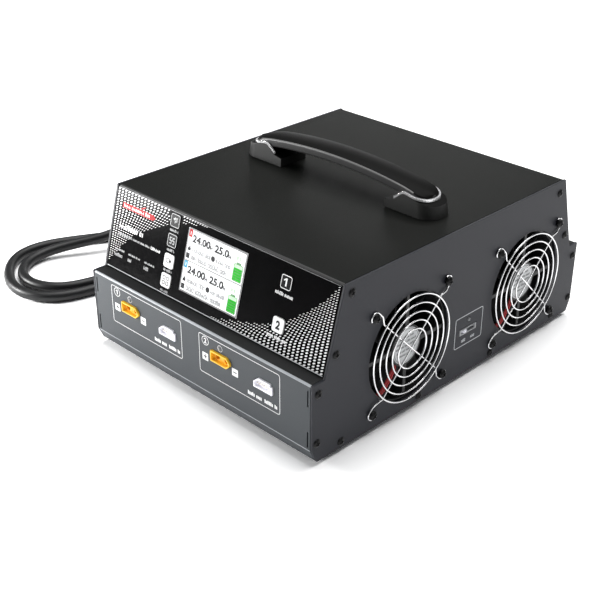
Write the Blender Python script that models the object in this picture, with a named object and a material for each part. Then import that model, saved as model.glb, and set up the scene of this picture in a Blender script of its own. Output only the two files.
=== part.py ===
"""A two-channel balance battery charger: a bent-sheet case with a slanted control panel, two output
channels on its front wall, two exhaust fans on its right side, a carrying handle and a mains lead.

Metres. +X is the charger's right, +Y its rear, +Z up. The origin is on the table, under the middle
of the case. Pieces that touch keep a gap of 0.3 mm.
"""

import math

import bmesh
import bpy
from mathutils import Matrix, Vector

GAP = 0.0003

# Case
FOOT_HEIGHT = 0.003
CASE_WIDTH = 0.220
CASE_DEPTH = 0.286
CASE_HEIGHT = 0.116
WALL_HEIGHT = 0.0574  # top of the upright front and rear walls
STEP_DEPTH = 0.0106  # ledge between the upright wall and the slanted panel
TOP_SETBACK = 0.027  # from the front wall to the lid's front edge
CHAMFER_DEPTH = 0.0043
CHAMFER_HEIGHT = 0.0095
LEDGE_FLANGE = 0.008  # part of the ledge that runs on under the cover
SHEET = 0.0012
SIDE_PLATE = 0.0017
BEND_RADIUS = 0.0018
FILM = 0.0005
COVER_RECESS = FILM + GAP  # the cover lies this far behind the film's face

CASE_BASE = FOOT_HEIGHT
LID_Z = CASE_BASE + CASE_HEIGHT
WALL_TOP_Z = CASE_BASE + WALL_HEIGHT
HALF_DEPTH = CASE_DEPTH / 2
SHEET_HALF_WIDTH = CASE_WIDTH / 2 - SIDE_PLATE - GAP
PANEL_LEAN = math.atan2(TOP_SETBACK - STEP_DEPTH, CASE_HEIGHT - WALL_HEIGHT)

# Control panel: positions are (x, distance up the slope)
FILM_HALF_WIDTH = 0.1075
FILM_LOW = 0.0012
FILM_HIGH = 0.0598
DISPLAY_CENTRE = (-0.00085, 0.0315)
DISPLAY_SIZE = (0.0573, 0.0440)
DISPLAY_THICKNESS = 0.0060
KEY_SIZE = 0.0100
KEY_CORNER = 0.0022
KEY_PROUD = 0.0004
KEY_DEPTH = 0.0034
KEYS = {
    "menu_key_1": (-0.0435, 0.0535),
    "menu_key_2": (-0.0435, 0.0395),
    "menu_key_3": (-0.0435, 0.0250),
    "menu_key_4": (-0.0435, 0.0110),
    "channel_key_1": (0.0645, 0.0470),
    "channel_key_2": (0.0645, 0.0188),
}

# Front wall: each channel repeats at this pitch; positions are (x, height over the case's base)
CHANNEL_X = (-0.0672, 0.0272)
OUTPUT_Z = 0.0380
OUTPUT_SIZE = (0.0184, 0.0078)
OUTPUT_CHAMFER = 0.0028
OUTPUT_PROUD = 0.0016
OUTPUT_DEPTH = 0.0125
OUTPUT_CAVITY = 0.0105
OUTPUT_WALL = 0.0009
PIN_RADIUS = 0.0017
PIN_SPACING = 0.0084
PIN_LENGTH = 0.0050
BALANCE_OFFSET = (0.0398, -0.0018)  # from the output socket
BALANCE_PROUD = 0.0010
BALANCE_DEPTH = 0.0095
BALANCE_CAVITY = 0.0078
BALANCE_WALL = 0.0010
LIGHT_OFFSET = (-0.0008, 0.0078)
LIGHT_RADIUS = 0.0016

# Fans
FAN_Y = {"front": -0.0529, "rear": 0.0759}
FAN_Z = CASE_BASE + 0.0477
FAN_SIZE = 0.080
FAN_THICKNESS = 0.025
FAN_BORE = 0.038
FAN_HOLE_PITCH = 0.0715
FAN_SCREW_HOLE = 0.0022
PANEL_FAN_HOLE = 0.0393
STATOR_RADIUS = 0.0148
STATOR_THICKNESS = 0.0032
ROTOR_RADIUS = 0.0150
BLADES = 7
GUARD_RINGS = (0.038, 0.032, 0.026, 0.020, 0.014)
GUARD_WIRE = 0.0006  # wire radius
GUARD_STANDOFF = 0.0027
HOOK_RADIUS = 0.0036
SCREW_HEAD = 0.0034

# Left side: air inlet
VENT_SLOT = (0.0034, 0.034)
VENT_PITCH = 0.0085
VENT_COUNT = 8
LOUVRE_WIDTH = 0.0040
LOUVRE_PROUD = 0.0015

# Right side: selector switch and its light, as (y, height over the case's base)
SELECTOR = (0.0106, 0.0352)
SELECTOR_SIZE = (0.0184, 0.0044)
SELECTOR_SLOT = (0.0150, 0.0026)
SELECTOR_TRAVEL = 0.0070
SIDE_LIGHT = (0.0110, 0.0430)

# Handle: heights are over the lid
GRIP_TOP = 0.0230
GRIP_THICKNESS = 0.0063
GRIP_CROWN = 0.0013
GRIP_HALF_WIDTH = 0.0108
GRIP_HALF_LENGTH = 0.0822
GRIP_END_RADIUS = 0.0096
GRIP_ARCH = 0.430
GRIP_DIP_START = 0.062  # beyond this the bar's ends dip into the feet
GRIP_DIP = 0.0020
HANDLE_FOOT_IN = 0.0500
HANDLE_FOOT_OUT = 0.0905
HANDLE_FOOT_HALF_WIDTH = 0.0130
HANDLE_FOOT_CORNER = 0.0115
HANDLE_FOOT_BLANK = 0.030  # height of the tapered block that each foot is cut from
HANDLE_FOOT_TAPER = (0.0060, 0.0014)  # what the block loses over that height: outer end, each side
HANDLE_RIM = ((0.0500, 0.0064), (0.0575, 0.0078), (0.0650, 0.0139), (0.0840, 0.0104), (0.0905, 0.0082))
TRIM_HEIGHT = 0.0016
TRIM_WIDTH = 0.0012

# Rear wall
SWITCH_X = 0.055
SWITCH_Z = CASE_BASE + 0.031
SWITCH_FLANGE = (0.030, 0.022)
SWITCH_CAVITY = (0.0236, 0.0156)
ROCKER_TILT = 7.0  # degrees either way of level
GLAND_X = -0.040
GLAND_Z = CASE_BASE + 0.031
GLAND_LENGTH = 0.040

# Mains lead
CORD_DIAMETER = 0.0086
CORD_POINT_SPACING = 0.021
CORD_FLOOR = CORD_DIAMETER / 2 + 0.0002
# Control points of a cubic B-spline: out of the gland, round the rear left corner, two nested bends
# in front, a loop behind them that the lead passes over, and back to the plug.
CORD_ROUTE = (
    (GLAND_X, HALF_DEPTH + GLAND_LENGTH + 3 * GAP, GLAND_Z),
    (GLAND_X, HALF_DEPTH + GLAND_LENGTH + 0.015, GLAND_Z),
    (-0.0382, 0.2263, 0.0325),
    (-0.0636, 0.2621, 0.0190),
    (-0.1090, 0.2609, 0.0070),
    (-0.1352, 0.2238, CORD_FLOOR),
    (-0.1363, 0.1809, CORD_FLOOR),
    (-0.1329, 0.1416, CORD_FLOOR),
    (-0.1314, 0.0997, CORD_FLOOR),
    (-0.1308, 0.0592, CORD_FLOOR),
    (-0.1332, 0.0174, CORD_FLOOR),
    (-0.1444, -0.0188, CORD_FLOOR),
    (-0.1691, -0.0588, CORD_FLOOR),
    (-0.1726, -0.0925, CORD_FLOOR),
    (-0.1818, -0.1365, CORD_FLOOR),
    (-0.2223, -0.1498, CORD_FLOOR),
    (-0.2670, -0.1212, CORD_FLOOR),
    (-0.2756, -0.0862, CORD_FLOOR),
    (-0.2530, -0.0445, CORD_FLOOR),
    (-0.2344, -0.0105, CORD_FLOOR),
    (-0.2123, 0.0237, CORD_FLOOR),
    (-0.1890, 0.0569, CORD_FLOOR),
    (-0.1787, 0.1016, CORD_FLOOR),
    (-0.2052, 0.1419, CORD_FLOOR),
    (-0.2514, 0.1389, CORD_FLOOR),
    (-0.2713, 0.0984, CORD_FLOOR),
    (-0.2557, 0.0570, 0.0050),
    (-0.2373, 0.0213, 0.0135),
    (-0.2274, -0.0196, 0.0185),
    (-0.2305, -0.0454, 0.0125),
    (-0.2653, -0.0955, 0.0052),
    (-0.2366, -0.1360, CORD_FLOOR),
    (-0.1882, -0.1250, CORD_FLOOR),
    (-0.1819, -0.0638, CORD_FLOOR),
    (-0.1812, -0.0405, CORD_FLOOR),
    (-0.1655, 0.0022, CORD_FLOOR),
    (-0.1531, 0.0379, 0.0065),
    (-0.1491, 0.0798, 0.0110),
    (-0.1539, 0.1064, 0.0122),
    (-0.1580, 0.1193, 0.0122),
)
PLUG_SIZE = (0.027, 0.0235)
PLUG_LENGTH = 0.052

MATERIALS = {
    "case_paint": ((0.030, 0.031, 0.033), 0.45, 0.1),
    "overlay_film": ((0.008, 0.008, 0.009), 0.20, 0.0),
    "display_glass": ((0.75, 0.77, 0.78), 0.15, 0.0),
    "key_print": ((0.70, 0.70, 0.70), 0.40, 0.0),
    "board_green": ((0.02, 0.12, 0.05), 0.50, 0.0),
    "black_plastic": ((0.015, 0.015, 0.015), 0.45, 0.0),
    "guard_chrome": ((0.80, 0.80, 0.80), 0.15, 1.0),
    "black_screw": ((0.02, 0.02, 0.02), 0.35, 0.8),
    "output_yellow": ((0.85, 0.50, 0.03), 0.40, 0.0),
    "pin_brass": ((0.80, 0.60, 0.25), 0.25, 1.0),
    "socket_white": ((0.85, 0.85, 0.83), 0.45, 0.0),
    "light_lens": ((0.60, 0.62, 0.65), 0.15, 0.0),
    "grip_plastic": ((0.02, 0.02, 0.021), 0.30, 0.0),
    "trim_chrome": ((0.85, 0.85, 0.85), 0.08, 1.0),
    "foot_rubber": ((0.02, 0.02, 0.02), 0.80, 0.0),
    "cord_rubber": ((0.012, 0.012, 0.012), 0.50, 0.0),
    "sink_aluminium": ((0.70, 0.71, 0.73), 0.35, 1.0),
    "winding_tape": ((0.55, 0.45, 0.05), 0.50, 0.0),
    "can_sleeve": ((0.03, 0.04, 0.08), 0.40, 0.0),
}


# ---------------------------------------------------------------- helpers


def clear_scene():
    for thing in list(bpy.data.objects):
        bpy.data.objects.remove(thing)


def make_materials():
    for name, (colour, roughness, metallic) in MATERIALS.items():
        made = bpy.data.materials.new(name)
        made.use_nodes = True
        shader = made.node_tree.nodes["Principled BSDF"]
        shader.inputs["Base Color"].default_value = (*colour, 1.0)
        shader.inputs["Roughness"].default_value = roughness
        shader.inputs["Metallic"].default_value = metallic


def empty(name, location=(0, 0, 0), rotation=(0, 0, 0)):
    guide = bpy.data.objects.new(name, None)
    guide.location = location
    guide.rotation_euler = rotation
    bpy.context.collection.objects.link(guide)
    return guide


def piece(name, shape, finish=None, location=(0, 0, 0), rotation=(0, 0, 0), parent=None, smooth=False):
    """Makes an object from a bmesh, with its normals facing out."""
    bmesh.ops.recalc_face_normals(shape, faces=shape.faces)
    mesh = bpy.data.meshes.new(name)
    shape.to_mesh(mesh)
    shape.free()
    if smooth:
        mesh.shade_smooth()
        mesh.set_sharp_from_angle(angle=math.radians(35))
    made = bpy.data.objects.new(name, mesh)
    bpy.context.collection.objects.link(made)
    made.location = location
    made.rotation_euler = rotation
    made.parent = parent
    if finish:
        mesh.materials.append(bpy.data.materials[finish])
    return made


def combine(target, name, shape, operation="DIFFERENCE", **placing):
    """Cuts, joins or intersects the target with a shape that isn't itself a piece."""
    tool = piece(f"{name}_tool", shape, **placing)
    tool.hide_render = True
    tool.display_type = "WIRE"
    step = target.modifiers.new(name, "BOOLEAN")
    step.operation = operation
    step.solver = "EXACT"
    step.object = tool
    return tool


def rounded(points, radius, steps=3, closed=True):
    """An outline or path with its corners rounded; tight corners take the radius that fits."""
    result = []
    count = len(points)
    for i, corner in enumerate(points):
        if not closed and i in (0, count - 1):
            result.append(tuple(corner))
            continue
        here = Vector(corner)
        back = Vector(points[i - 1]) - here
        ahead = Vector(points[(i + 1) % count]) - here
        half_angle = back.angle(ahead) / 2
        reach = min(radius / math.tan(half_angle), back.length * 0.45, ahead.length * 0.45)
        start = here + back.normalized() * reach
        end = here + ahead.normalized() * reach
        for k in range(steps + 1):
            t = k / steps
            bent = start * (1 - t) ** 2 + here * 2 * t * (1 - t) + end * t * t
            result.append(tuple(bent))
    return result


def rectangle(width, height, radius=0.0, centre=(0.0, 0.0), steps=3):
    corners = [(-1, -1), (1, -1), (1, 1), (-1, 1)]
    outline = [(centre[0] + sx * width / 2, centre[1] + sy * height / 2) for sx, sy in corners]
    return rounded(outline, radius, steps) if radius else outline


def circle(radius, sides, centre=(0.0, 0.0)):
    turns = [2 * math.pi * k / sides for k in range(sides)]
    return [(centre[0] + radius * math.cos(a), centre[1] + radius * math.sin(a)) for a in turns]


def offset_path(points, distance):
    """An open path moved to its left by a distance, with mitred corners."""
    moved = []
    for i, corner in enumerate(points):
        before = points[max(i - 1, 0)]
        after = points[min(i + 1, len(points) - 1)]
        sides = []
        for a, b in ((before, corner), (corner, after)):
            run = Vector(b) - Vector(a)
            if run.length > 0:
                sides.append(Vector((-run.y, run.x)).normalized())
        middle = sum(sides, Vector((0, 0))).normalized()
        moved.append(tuple(Vector(corner) + middle * (distance / middle.dot(sides[0]))))
    return moved


def prism(outline, low, high, axis="Z"):
    """A closed prism. The outline is in (y, z) for axis X, (x, z) for axis Y and (x, y) for axis Z."""
    place = {
        "X": lambda a, b, c: (c, a, b),
        "Y": lambda a, b, c: (a, c, b),
        "Z": lambda a, b, c: (a, b, c),
    }[axis]
    shape = bmesh.new()
    bottom = [shape.verts.new(place(a, b, low)) for a, b in outline]
    top = [shape.verts.new(place(a, b, high)) for a, b in outline]
    shape.faces.new(bottom)
    shape.faces.new(reversed(top))
    for i in range(len(outline)):
        j = (i + 1) % len(outline)
        shape.faces.new((bottom[i], top[i], top[j], bottom[j]))
    return shape


def block(size, centre=(0, 0, 0)):
    shape = bmesh.new()
    bmesh.ops.create_cube(shape, size=1.0)
    bmesh.ops.scale(shape, vec=size, verts=shape.verts)
    bmesh.ops.translate(shape, vec=centre, verts=shape.verts)
    return shape


def turned(profile, sides, axis="Z"):
    """A solid of revolution. The profile holds (radius, height) and starts and ends on the axis."""
    place = {
        "X": lambda r, a, h: (h, r * math.cos(a), r * math.sin(a)),
        "Y": lambda r, a, h: (r * math.sin(a), h, r * math.cos(a)),
        "Z": lambda r, a, h: (r * math.cos(a), r * math.sin(a), h),
    }[axis]
    shape = bmesh.new()
    loops = []
    for radius, height in profile:
        if radius == 0:
            loops.append([shape.verts.new(place(0, 0, height))])
        else:
            turns = [2 * math.pi * k / sides for k in range(sides)]
            loops.append([shape.verts.new(place(radius, a, height)) for a in turns])
    for low, high in zip(loops, loops[1:]):
        for i in range(sides):
            j = (i + 1) % sides
            corners = [low[i % len(low)], low[j % len(low)], high[j % len(high)], high[i % len(high)]]
            shape.faces.new(dict.fromkeys(corners))
    return shape


def loft(sections):
    """A closed solid through rings of points, with flat ends."""
    shape = bmesh.new()
    rings = [[shape.verts.new(p) for p in ring] for ring in sections]
    for low, high in zip(rings, rings[1:]):
        for i in range(len(low)):
            j = (i + 1) % len(low)
            shape.faces.new((low[i], low[j], high[j], high[i]))
    shape.faces.new(reversed(rings[0]))
    shape.faces.new(rings[-1])
    return shape


def wire(points, radius, sides):
    """A round wire along a path, its rings turned as little as the path allows."""
    path = [Vector(p) for p in points]
    side = None
    sections = []
    for i, here in enumerate(path):
        run = (path[min(i + 1, len(path) - 1)] - path[max(i - 1, 0)]).normalized()
        side = run.orthogonal() if side is None else side - run * side.dot(run)
        side = side.normalized()
        other = run.cross(side)
        turns = [2 * math.pi * k / sides for k in range(sides)]
        sections.append([here + (side * math.cos(a) + other * math.sin(a)) * radius for a in turns])
    return loft(sections)


# ---------------------------------------------------------------- case


def sheet_strip(path, thickness):
    """The cross-section of a bent sheet that lies to the left of its path."""
    outer = rounded(path, BEND_RADIUS, closed=False)
    inner = rounded(offset_path(path, thickness), BEND_RADIUS - SHEET, closed=False)
    return outer + inner[::-1]


def mirrored(path):
    """A front-to-back path that goes on as its own mirror image."""
    return path + [(-y, z) for y, z in reversed(path)]


def base_tray():
    path = mirrored(
        [
            (-HALF_DEPTH + STEP_DEPTH + LEDGE_FLANGE, WALL_TOP_Z),
            (-HALF_DEPTH, WALL_TOP_Z),
            (-HALF_DEPTH, CASE_BASE + CHAMFER_HEIGHT),
            (-HALF_DEPTH + CHAMFER_DEPTH, CASE_BASE),
        ]
    )
    strip = sheet_strip(path, SHEET)
    tray = piece("base_tray", prism(strip, -SHEET_HALF_WIDTH, SHEET_HALF_WIDTH, "X"), "case_paint")
    for k, (x, y) in enumerate(BOARD_POSTS):
        post = turned([(0, SHEET / 2), (0.003, SHEET / 2), (0.003, POST_HEIGHT), (0, POST_HEIGHT)], 10)
        combine(tray, f"post_{k}", post, "UNION", location=(x, y, CASE_BASE))
    return tray


BOARD_POSTS = ((-0.092, -0.104), (0.068, -0.104), (-0.092, 0.112), (0.068, 0.112))
POST_HEIGHT = 0.0072
BOARD_Z = CASE_BASE + POST_HEIGHT + GAP


def top_cover():
    slope = math.tan(PANEL_LEAN)
    recess = COVER_RECESS / math.cos(PANEL_LEAN)
    rise = GAP + SHEET * math.sin(PANEL_LEAN)
    low_z = WALL_TOP_Z + rise
    low_y = -HALF_DEPTH + STEP_DEPTH + recess + rise * slope
    path = mirrored([(low_y, low_z), (-HALF_DEPTH + TOP_SETBACK + recess, LID_Z)])
    strip = sheet_strip(path[::-1], SHEET)
    return piece("top_cover", prism(strip, -SHEET_HALF_WIDTH, SHEET_HALF_WIDTH, "X"), "case_paint")


def side_outline():
    front = [
        (-HALF_DEPTH + TOP_SETBACK, LID_Z),
        (-HALF_DEPTH + STEP_DEPTH, WALL_TOP_Z),
        (-HALF_DEPTH, WALL_TOP_Z),
        (-HALF_DEPTH, CASE_BASE + CHAMFER_HEIGHT),
        (-HALF_DEPTH + CHAMFER_DEPTH, CASE_BASE),
    ]
    return rounded(mirrored(front), 0.0010, 2)


def side_panel(name, side):
    inner = side * (CASE_WIDTH / 2 - SIDE_PLATE)
    outer = side * CASE_WIDTH / 2
    return piece(name, prism(side_outline(), inner, outer, "X"), "case_paint")


def right_side_panel():
    panel = side_panel("side_panel_right", 1)
    reach = (CASE_WIDTH / 2 - 0.010, CASE_WIDTH / 2 + 0.010)
    for name, y in FAN_Y.items():
        combine(panel, f"air_hole_{name}", prism(circle(PANEL_FAN_HOLE, 48, (y, FAN_Z)), *reach, "X"))
        for k, corner in enumerate(fan_corners(y)):
            combine(panel, f"screw_hole_{name}_{k}", prism(circle(FAN_SCREW_HOLE, 10, corner), *reach, "X"))
    y, z = SELECTOR[0], CASE_BASE + SELECTOR[1]
    slot = rectangle(SELECTOR_SIZE[0] + 2 * GAP, SELECTOR_SIZE[1] + 2 * GAP, 0, (y, z))
    combine(panel, "selector_slot", prism(slot, *reach, "X"))
    y, z = SIDE_LIGHT[0], CASE_BASE + SIDE_LIGHT[1]
    combine(panel, "light_hole", prism(circle(LIGHT_RADIUS + GAP, 12, (y, z)), *reach, "X"))


def louvre(y, z):
    """A pressed hood along one edge of an upright slot: a wedge that stands out of the plate."""
    wall = -CASE_WIDTH / 2
    wedge = [(wall + 0.0008, y - LOUVRE_WIDTH), (wall + 0.0008, y), (wall - LOUVRE_PROUD, y)]
    return prism(wedge, z - VENT_SLOT[1] / 2, z + VENT_SLOT[1] / 2)


def left_side_panel():
    """The air inlet: two banks of upright louvred slots opposite the fans."""
    panel = side_panel("side_panel_left", -1)
    reach = (-CASE_WIDTH / 2 - 0.010, -CASE_WIDTH / 2 + 0.010)
    for name, bank_y in FAN_Y.items():
        for k in range(VENT_COUNT):
            y = bank_y + (k - (VENT_COUNT - 1) / 2) * VENT_PITCH
            slot = rectangle(*VENT_SLOT, 0.0016, (y, FAN_Z), 2)
            combine(panel, f"vent_{name}_{k}", prism(slot, *reach, "X"))
            combine(panel, f"louvre_{name}_{k}", louvre(y - VENT_SLOT[0] / 2, FAN_Z), "UNION")


def rubber_feet():
    profile = [(0, 0), (0.0060, 0), (0.0070, 0.0008), (0.0070, FOOT_HEIGHT - GAP), (0, FOOT_HEIGHT - GAP)]
    for side, x in (("left", -0.094), ("right", 0.094)):
        for end, y in (("front", -0.122), ("rear", 0.122)):
            shape = turned(profile, 20)
            piece(f"rubber_foot_{end}_{side}", shape, "foot_rubber", (x, y, 0), smooth=True)


# ---------------------------------------------------------------- control panel


def on_panel(centre, size, corner, low, high, grow=0.0):
    """A rounded block on the panel: x, up the slope, and out from its face."""
    width, height = size
    outline = rectangle(width + 2 * grow, height + 2 * grow, corner, centre)
    return prism(outline, low, high)


def control_panel(cover):
    lean = (math.pi / 2 - PANEL_LEAN, 0, 0)
    foot = (0, -HALF_DEPTH + STEP_DEPTH, WALL_TOP_Z)
    panel = empty("panel_plane", foot, lean)
    film_size = (2 * FILM_HALF_WIDTH, FILM_HIGH - FILM_LOW)
    film_centre = (0, (FILM_HIGH + FILM_LOW) / 2)
    film = piece(
        "panel_film", on_panel(film_centre, film_size, 0, -FILM, 0), "overlay_film", parent=panel
    )
    openings = {"display": (DISPLAY_CENTRE, DISPLAY_SIZE, 0)}
    for name, centre in KEYS.items():
        openings[name] = (centre, (KEY_SIZE, KEY_SIZE), KEY_CORNER)
    for name, (centre, size, corner) in openings.items():
        for sheet in (film, cover):
            hole = on_panel(centre, size, corner, -0.008, 0.008, GAP)
            combine(sheet, f"{name}_hole_{sheet.name}", hole, parent=panel)

    lens = on_panel(DISPLAY_CENTRE, DISPLAY_SIZE, 0, -DISPLAY_THICKNESS, -0.0001)
    piece("display_module", lens, "display_glass", parent=panel)
    for name, centre in KEYS.items():
        key = on_panel((0, 0), (KEY_SIZE, KEY_SIZE), KEY_CORNER, -KEY_DEPTH, KEY_PROUD)
        piece(name, key, "key_print", (*centre, 0), parent=panel)
    board = on_panel((0, 0.027), (0.190, 0.044), 0, -0.0082, -0.0066)
    piece("control_board", board, "board_green", parent=panel)


# ---------------------------------------------------------------- front wall


def inset(outline, distance):
    """A convex or nearly convex outline drawn in by a distance."""
    ring = list(outline)
    count = len(ring)
    result = []
    for i, corner in enumerate(ring):
        back = (Vector(corner) - Vector(ring[i - 1])).normalized()
        ahead = (Vector(ring[(i + 1) % count]) - Vector(corner)).normalized()
        inward = Vector((-back.y - ahead.y, back.x + ahead.x)).normalized()
        scale = distance / inward.dot(Vector((-back.y, back.x)))
        result.append(tuple(Vector(corner) + inward * scale))
    return result


def output_outline():
    w, h = OUTPUT_SIZE[0] / 2, OUTPUT_SIZE[1] / 2
    c = OUTPUT_CHAMFER
    return [(-w, -h), (w - c, -h), (w, -h + c), (w, h - c), (w - c, h), (-w, h)]


def balance_outline():
    """A keyed shroud: one corner is cut away, the next has a small step."""
    return [
        (-0.0084, -0.0038),
        (0.0084, -0.0038),
        (0.0084, 0.0020),
        (0.0066, 0.0020),
        (0.0066, 0.0038),
        (-0.0042, 0.0038),
        (-0.0084, 0.0004),
    ]


def front_socket(name, outline, proud, depth, cavity, wall, finish, location):
    """A shroud whose mouth stands a little out of the front wall; y grows inwards from the wall."""
    socket = piece(name, prism(outline, -proud, depth, "Y"), finish, location)
    hollow = prism(inset(outline, wall), -proud - 0.001, cavity - proud, "Y")
    combine(socket, f"{name}_hollow", hollow, location=location)


def status_light(name, location, rotation):
    """A lens that looks out along its own Z."""
    r = LIGHT_RADIUS
    profile = [(0, -0.005), (r, -0.005), (r, 0.0002), (r * 0.8, 0.0006), (0, 0.0008)]
    piece(name, turned(profile, 12), "light_lens", location, rotation, smooth=True)


def front_wall(tray):
    for k, x in enumerate(CHANNEL_X, 1):
        at_output = (x, -HALF_DEPTH, CASE_BASE + OUTPUT_Z)
        at_balance = (at_output[0] + BALANCE_OFFSET[0], -HALF_DEPTH, at_output[2] + BALANCE_OFFSET[1])
        at_light = (at_output[0] + LIGHT_OFFSET[0], -HALF_DEPTH, at_output[2] + LIGHT_OFFSET[1])
        cuts = {
            "output": (inset(output_outline(), -GAP), at_output),
            "balance": (inset(balance_outline(), -GAP), at_balance),
            "light": (circle(LIGHT_RADIUS + GAP, 12), at_light),
        }
        for name, (outline, place) in cuts.items():
            combine(tray, f"{name}_hole_{k}", prism(outline, -0.006, 0.006, "Y"), location=place)
        front_socket(
            f"output_socket_{k}", output_outline(), OUTPUT_PROUD, OUTPUT_DEPTH, OUTPUT_CAVITY,
            OUTPUT_WALL, "output_yellow", at_output,
        )
        front_socket(
            f"balance_socket_{k}", balance_outline(), BALANCE_PROUD, BALANCE_DEPTH, BALANCE_CAVITY,
            BALANCE_WALL, "socket_white", at_balance,
        )
        floor = OUTPUT_CAVITY - OUTPUT_PROUD - GAP
        for sign, pole in ((-1, "positive"), (1, "negative")):
            tip = floor - PIN_LENGTH
            pin = turned([(0, tip), (PIN_RADIUS, tip), (PIN_RADIUS, floor), (0, floor)], 10, "Y")
            place = (x + sign * PIN_SPACING / 2, at_output[1], at_output[2])
            piece(f"output_pin_{pole}_{k}", pin, "pin_brass", place, smooth=True)
        status_light(f"channel_light_{k}", at_light, (math.pi / 2, 0, 0))
    board = block((0.190, 0.0016, 0.036), (0, -HALF_DEPTH + 0.0145, CASE_BASE + 0.034))
    piece("socket_board", board, "board_green")


# ---------------------------------------------------------------- fans


def fan_corners(y):
    half = FAN_HOLE_PITCH / 2
    return [(y + sy * half, FAN_Z + sz * half) for sy in (-1, 1) for sz in (-1, 1)]


FAN_FACE_X = CASE_WIDTH / 2 - SIDE_PLATE - GAP  # the fan frame's outer face


def fan_frame(name, y):
    at = (FAN_FACE_X, y, FAN_Z)
    body = prism(rectangle(FAN_SIZE, FAN_SIZE, 0.004), -FAN_THICKNESS, 0, "X")
    frame = piece(f"fan_frame_{name}", body, "black_plastic", at)
    bore = prism(circle(FAN_BORE, 40), -FAN_THICKNESS - 0.001, 0.001, "X")
    combine(frame, f"fan_bore_{name}", bore, location=at)
    for k, (hole_y, hole_z) in enumerate(fan_corners(y)):
        hole = prism(circle(FAN_SCREW_HOLE, 10), -FAN_THICKNESS - 0.001, 0.001, "X")
        combine(frame, f"fan_hole_{name}_{k}", hole, location=(FAN_FACE_X, hole_y, hole_z))
    stator = prism(circle(STATOR_RADIUS, 28), -STATOR_THICKNESS, -0.0003, "X")
    arm = (0.0022, 2 * FAN_BORE + 0.002, 0.0032)
    combine(frame, f"fan_arm_level_{name}", block(arm, (-0.0018, 0, 0)), "UNION", location=at)
    arm = (0.0022, 0.0032, 2 * FAN_BORE + 0.002)
    combine(frame, f"fan_arm_upright_{name}", block(arm, (-0.0018, 0, 0)), "UNION", location=at)
    combine(frame, f"fan_stator_{name}", stator, "UNION", location=at)


ROTOR_FRONT = -0.0042  # behind the fan frame's outer face, clear of the stator
ROTOR_BACK = -0.0210


def blade(angle):
    """One twisted blade: three stations along its span, each a thin slanted plate."""
    middle = (ROTOR_FRONT + ROTOR_BACK) / 2
    half_axial = (ROTOR_FRONT - ROTOR_BACK) / 2 - 0.0015
    turn = Matrix.Rotation(angle, 3, "X")
    sections = []
    for radius, half_chord in ((0.0130, 0.0050), (0.0240, 0.0085), (0.0345, 0.0100)):
        lead = Vector((half_axial, -half_chord, 0))
        skin = Vector((half_chord, half_axial, 0)).normalized() * 0.0007
        centre = Vector((middle, 0, radius))
        ring = [centre + lead + skin, centre - lead + skin, centre - lead - skin, centre + lead - skin]
        sections.append([turn @ p for p in ring])
    return loft(sections)


def fan_rotor(name, y):
    at = (FAN_FACE_X, y, FAN_Z)
    profile = [
        (0, ROTOR_BACK),
        (ROTOR_RADIUS - 0.001, ROTOR_BACK),
        (ROTOR_RADIUS, ROTOR_BACK + 0.001),
        (ROTOR_RADIUS, ROTOR_FRONT),
        (0, ROTOR_FRONT),
    ]
    rotor = piece(f"fan_rotor_{name}", turned(profile, 28, "X"), "black_plastic", at)
    for k in range(BLADES):
        shape = blade(2 * math.pi * k / BLADES)
        combine(rotor, f"blade_{name}_{k}", shape, "UNION", location=at)


def guard_rings():
    shape = bmesh.new()
    sides = 6
    for radius in GUARD_RINGS:
        steps = max(20, round(radius * 900))
        loops = []
        for i in range(steps):
            a = 2 * math.pi * i / steps
            loop = []
            for k in range(sides):
                b = 2 * math.pi * k / sides
                r = radius + GUARD_WIRE * math.cos(b)
                x = GUARD_STANDOFF + GUARD_WIRE * math.sin(b)
                loop.append(shape.verts.new((x, r * math.cos(a), r * math.sin(a))))
            loops.append(loop)
        for i, low in enumerate(loops):
            high = loops[(i + 1) % steps]
            for k in range(sides):
                j = (k + 1) % sides
                shape.faces.new((low[k], low[j], high[j], high[k]))
    return shape


def guard_strut_path():
    """Half of a strut, along +Y: from the middle out to the open hook round a screw."""
    screw = FAN_HOLE_PITCH / math.sqrt(2)
    middle_x = GUARD_STANDOFF - 1.5 * GUARD_WIRE
    hook_x = GAP + GUARD_WIRE
    path = [(middle_x, 0.020, 0), (middle_x, 0.0385, 0), (middle_x - 0.0003, 0.0400, -0.0004)]
    path += [(hook_x + 0.0003, 0.0450, -HOOK_RADIUS + 0.0003), (hook_x, 0.0468, -HOOK_RADIUS)]
    for k in range(7):
        a = math.radians(-90 + 26 * k)
        path.append((hook_x, screw + HOOK_RADIUS * math.cos(a), HOOK_RADIUS * math.sin(a)))
    return path


def fan_guard(name, y):
    at = (CASE_WIDTH / 2, y, FAN_Z)
    half = guard_strut_path()
    whole = [(x, -a, -b) for x, a, b in reversed(half)] + half
    strut = wire(whole, GUARD_WIRE, 6)
    guard = piece(f"fan_guard_{name}", strut, "guard_chrome", at, (math.pi / 4, 0, 0), smooth=True)
    second = wire(whole, GUARD_WIRE * 1.02, 6)
    combine(guard, f"strut_{name}", second, "UNION", location=at, rotation=(-math.pi / 4, 0, 0))
    combine(guard, f"rings_{name}", guard_rings(), "UNION", location=at)


def guard_screws(name, y):
    head_x = GAP + 2 * GUARD_WIRE + GAP
    profile = [
        (0, -0.012),
        (0.0016, -0.012),
        (0.0016, head_x),
        (SCREW_HEAD, head_x),
        (SCREW_HEAD, head_x + 0.0008),
        (SCREW_HEAD * 0.72, head_x + 0.0019),
        (0, head_x + 0.0021),
    ]
    for k, (screw_y, screw_z) in enumerate(fan_corners(y), 1):
        at = (CASE_WIDTH / 2, screw_y, screw_z)
        piece(f"guard_screw_{name}_{k}", turned(profile, 12, "X"), "black_screw", at, smooth=True)


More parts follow.
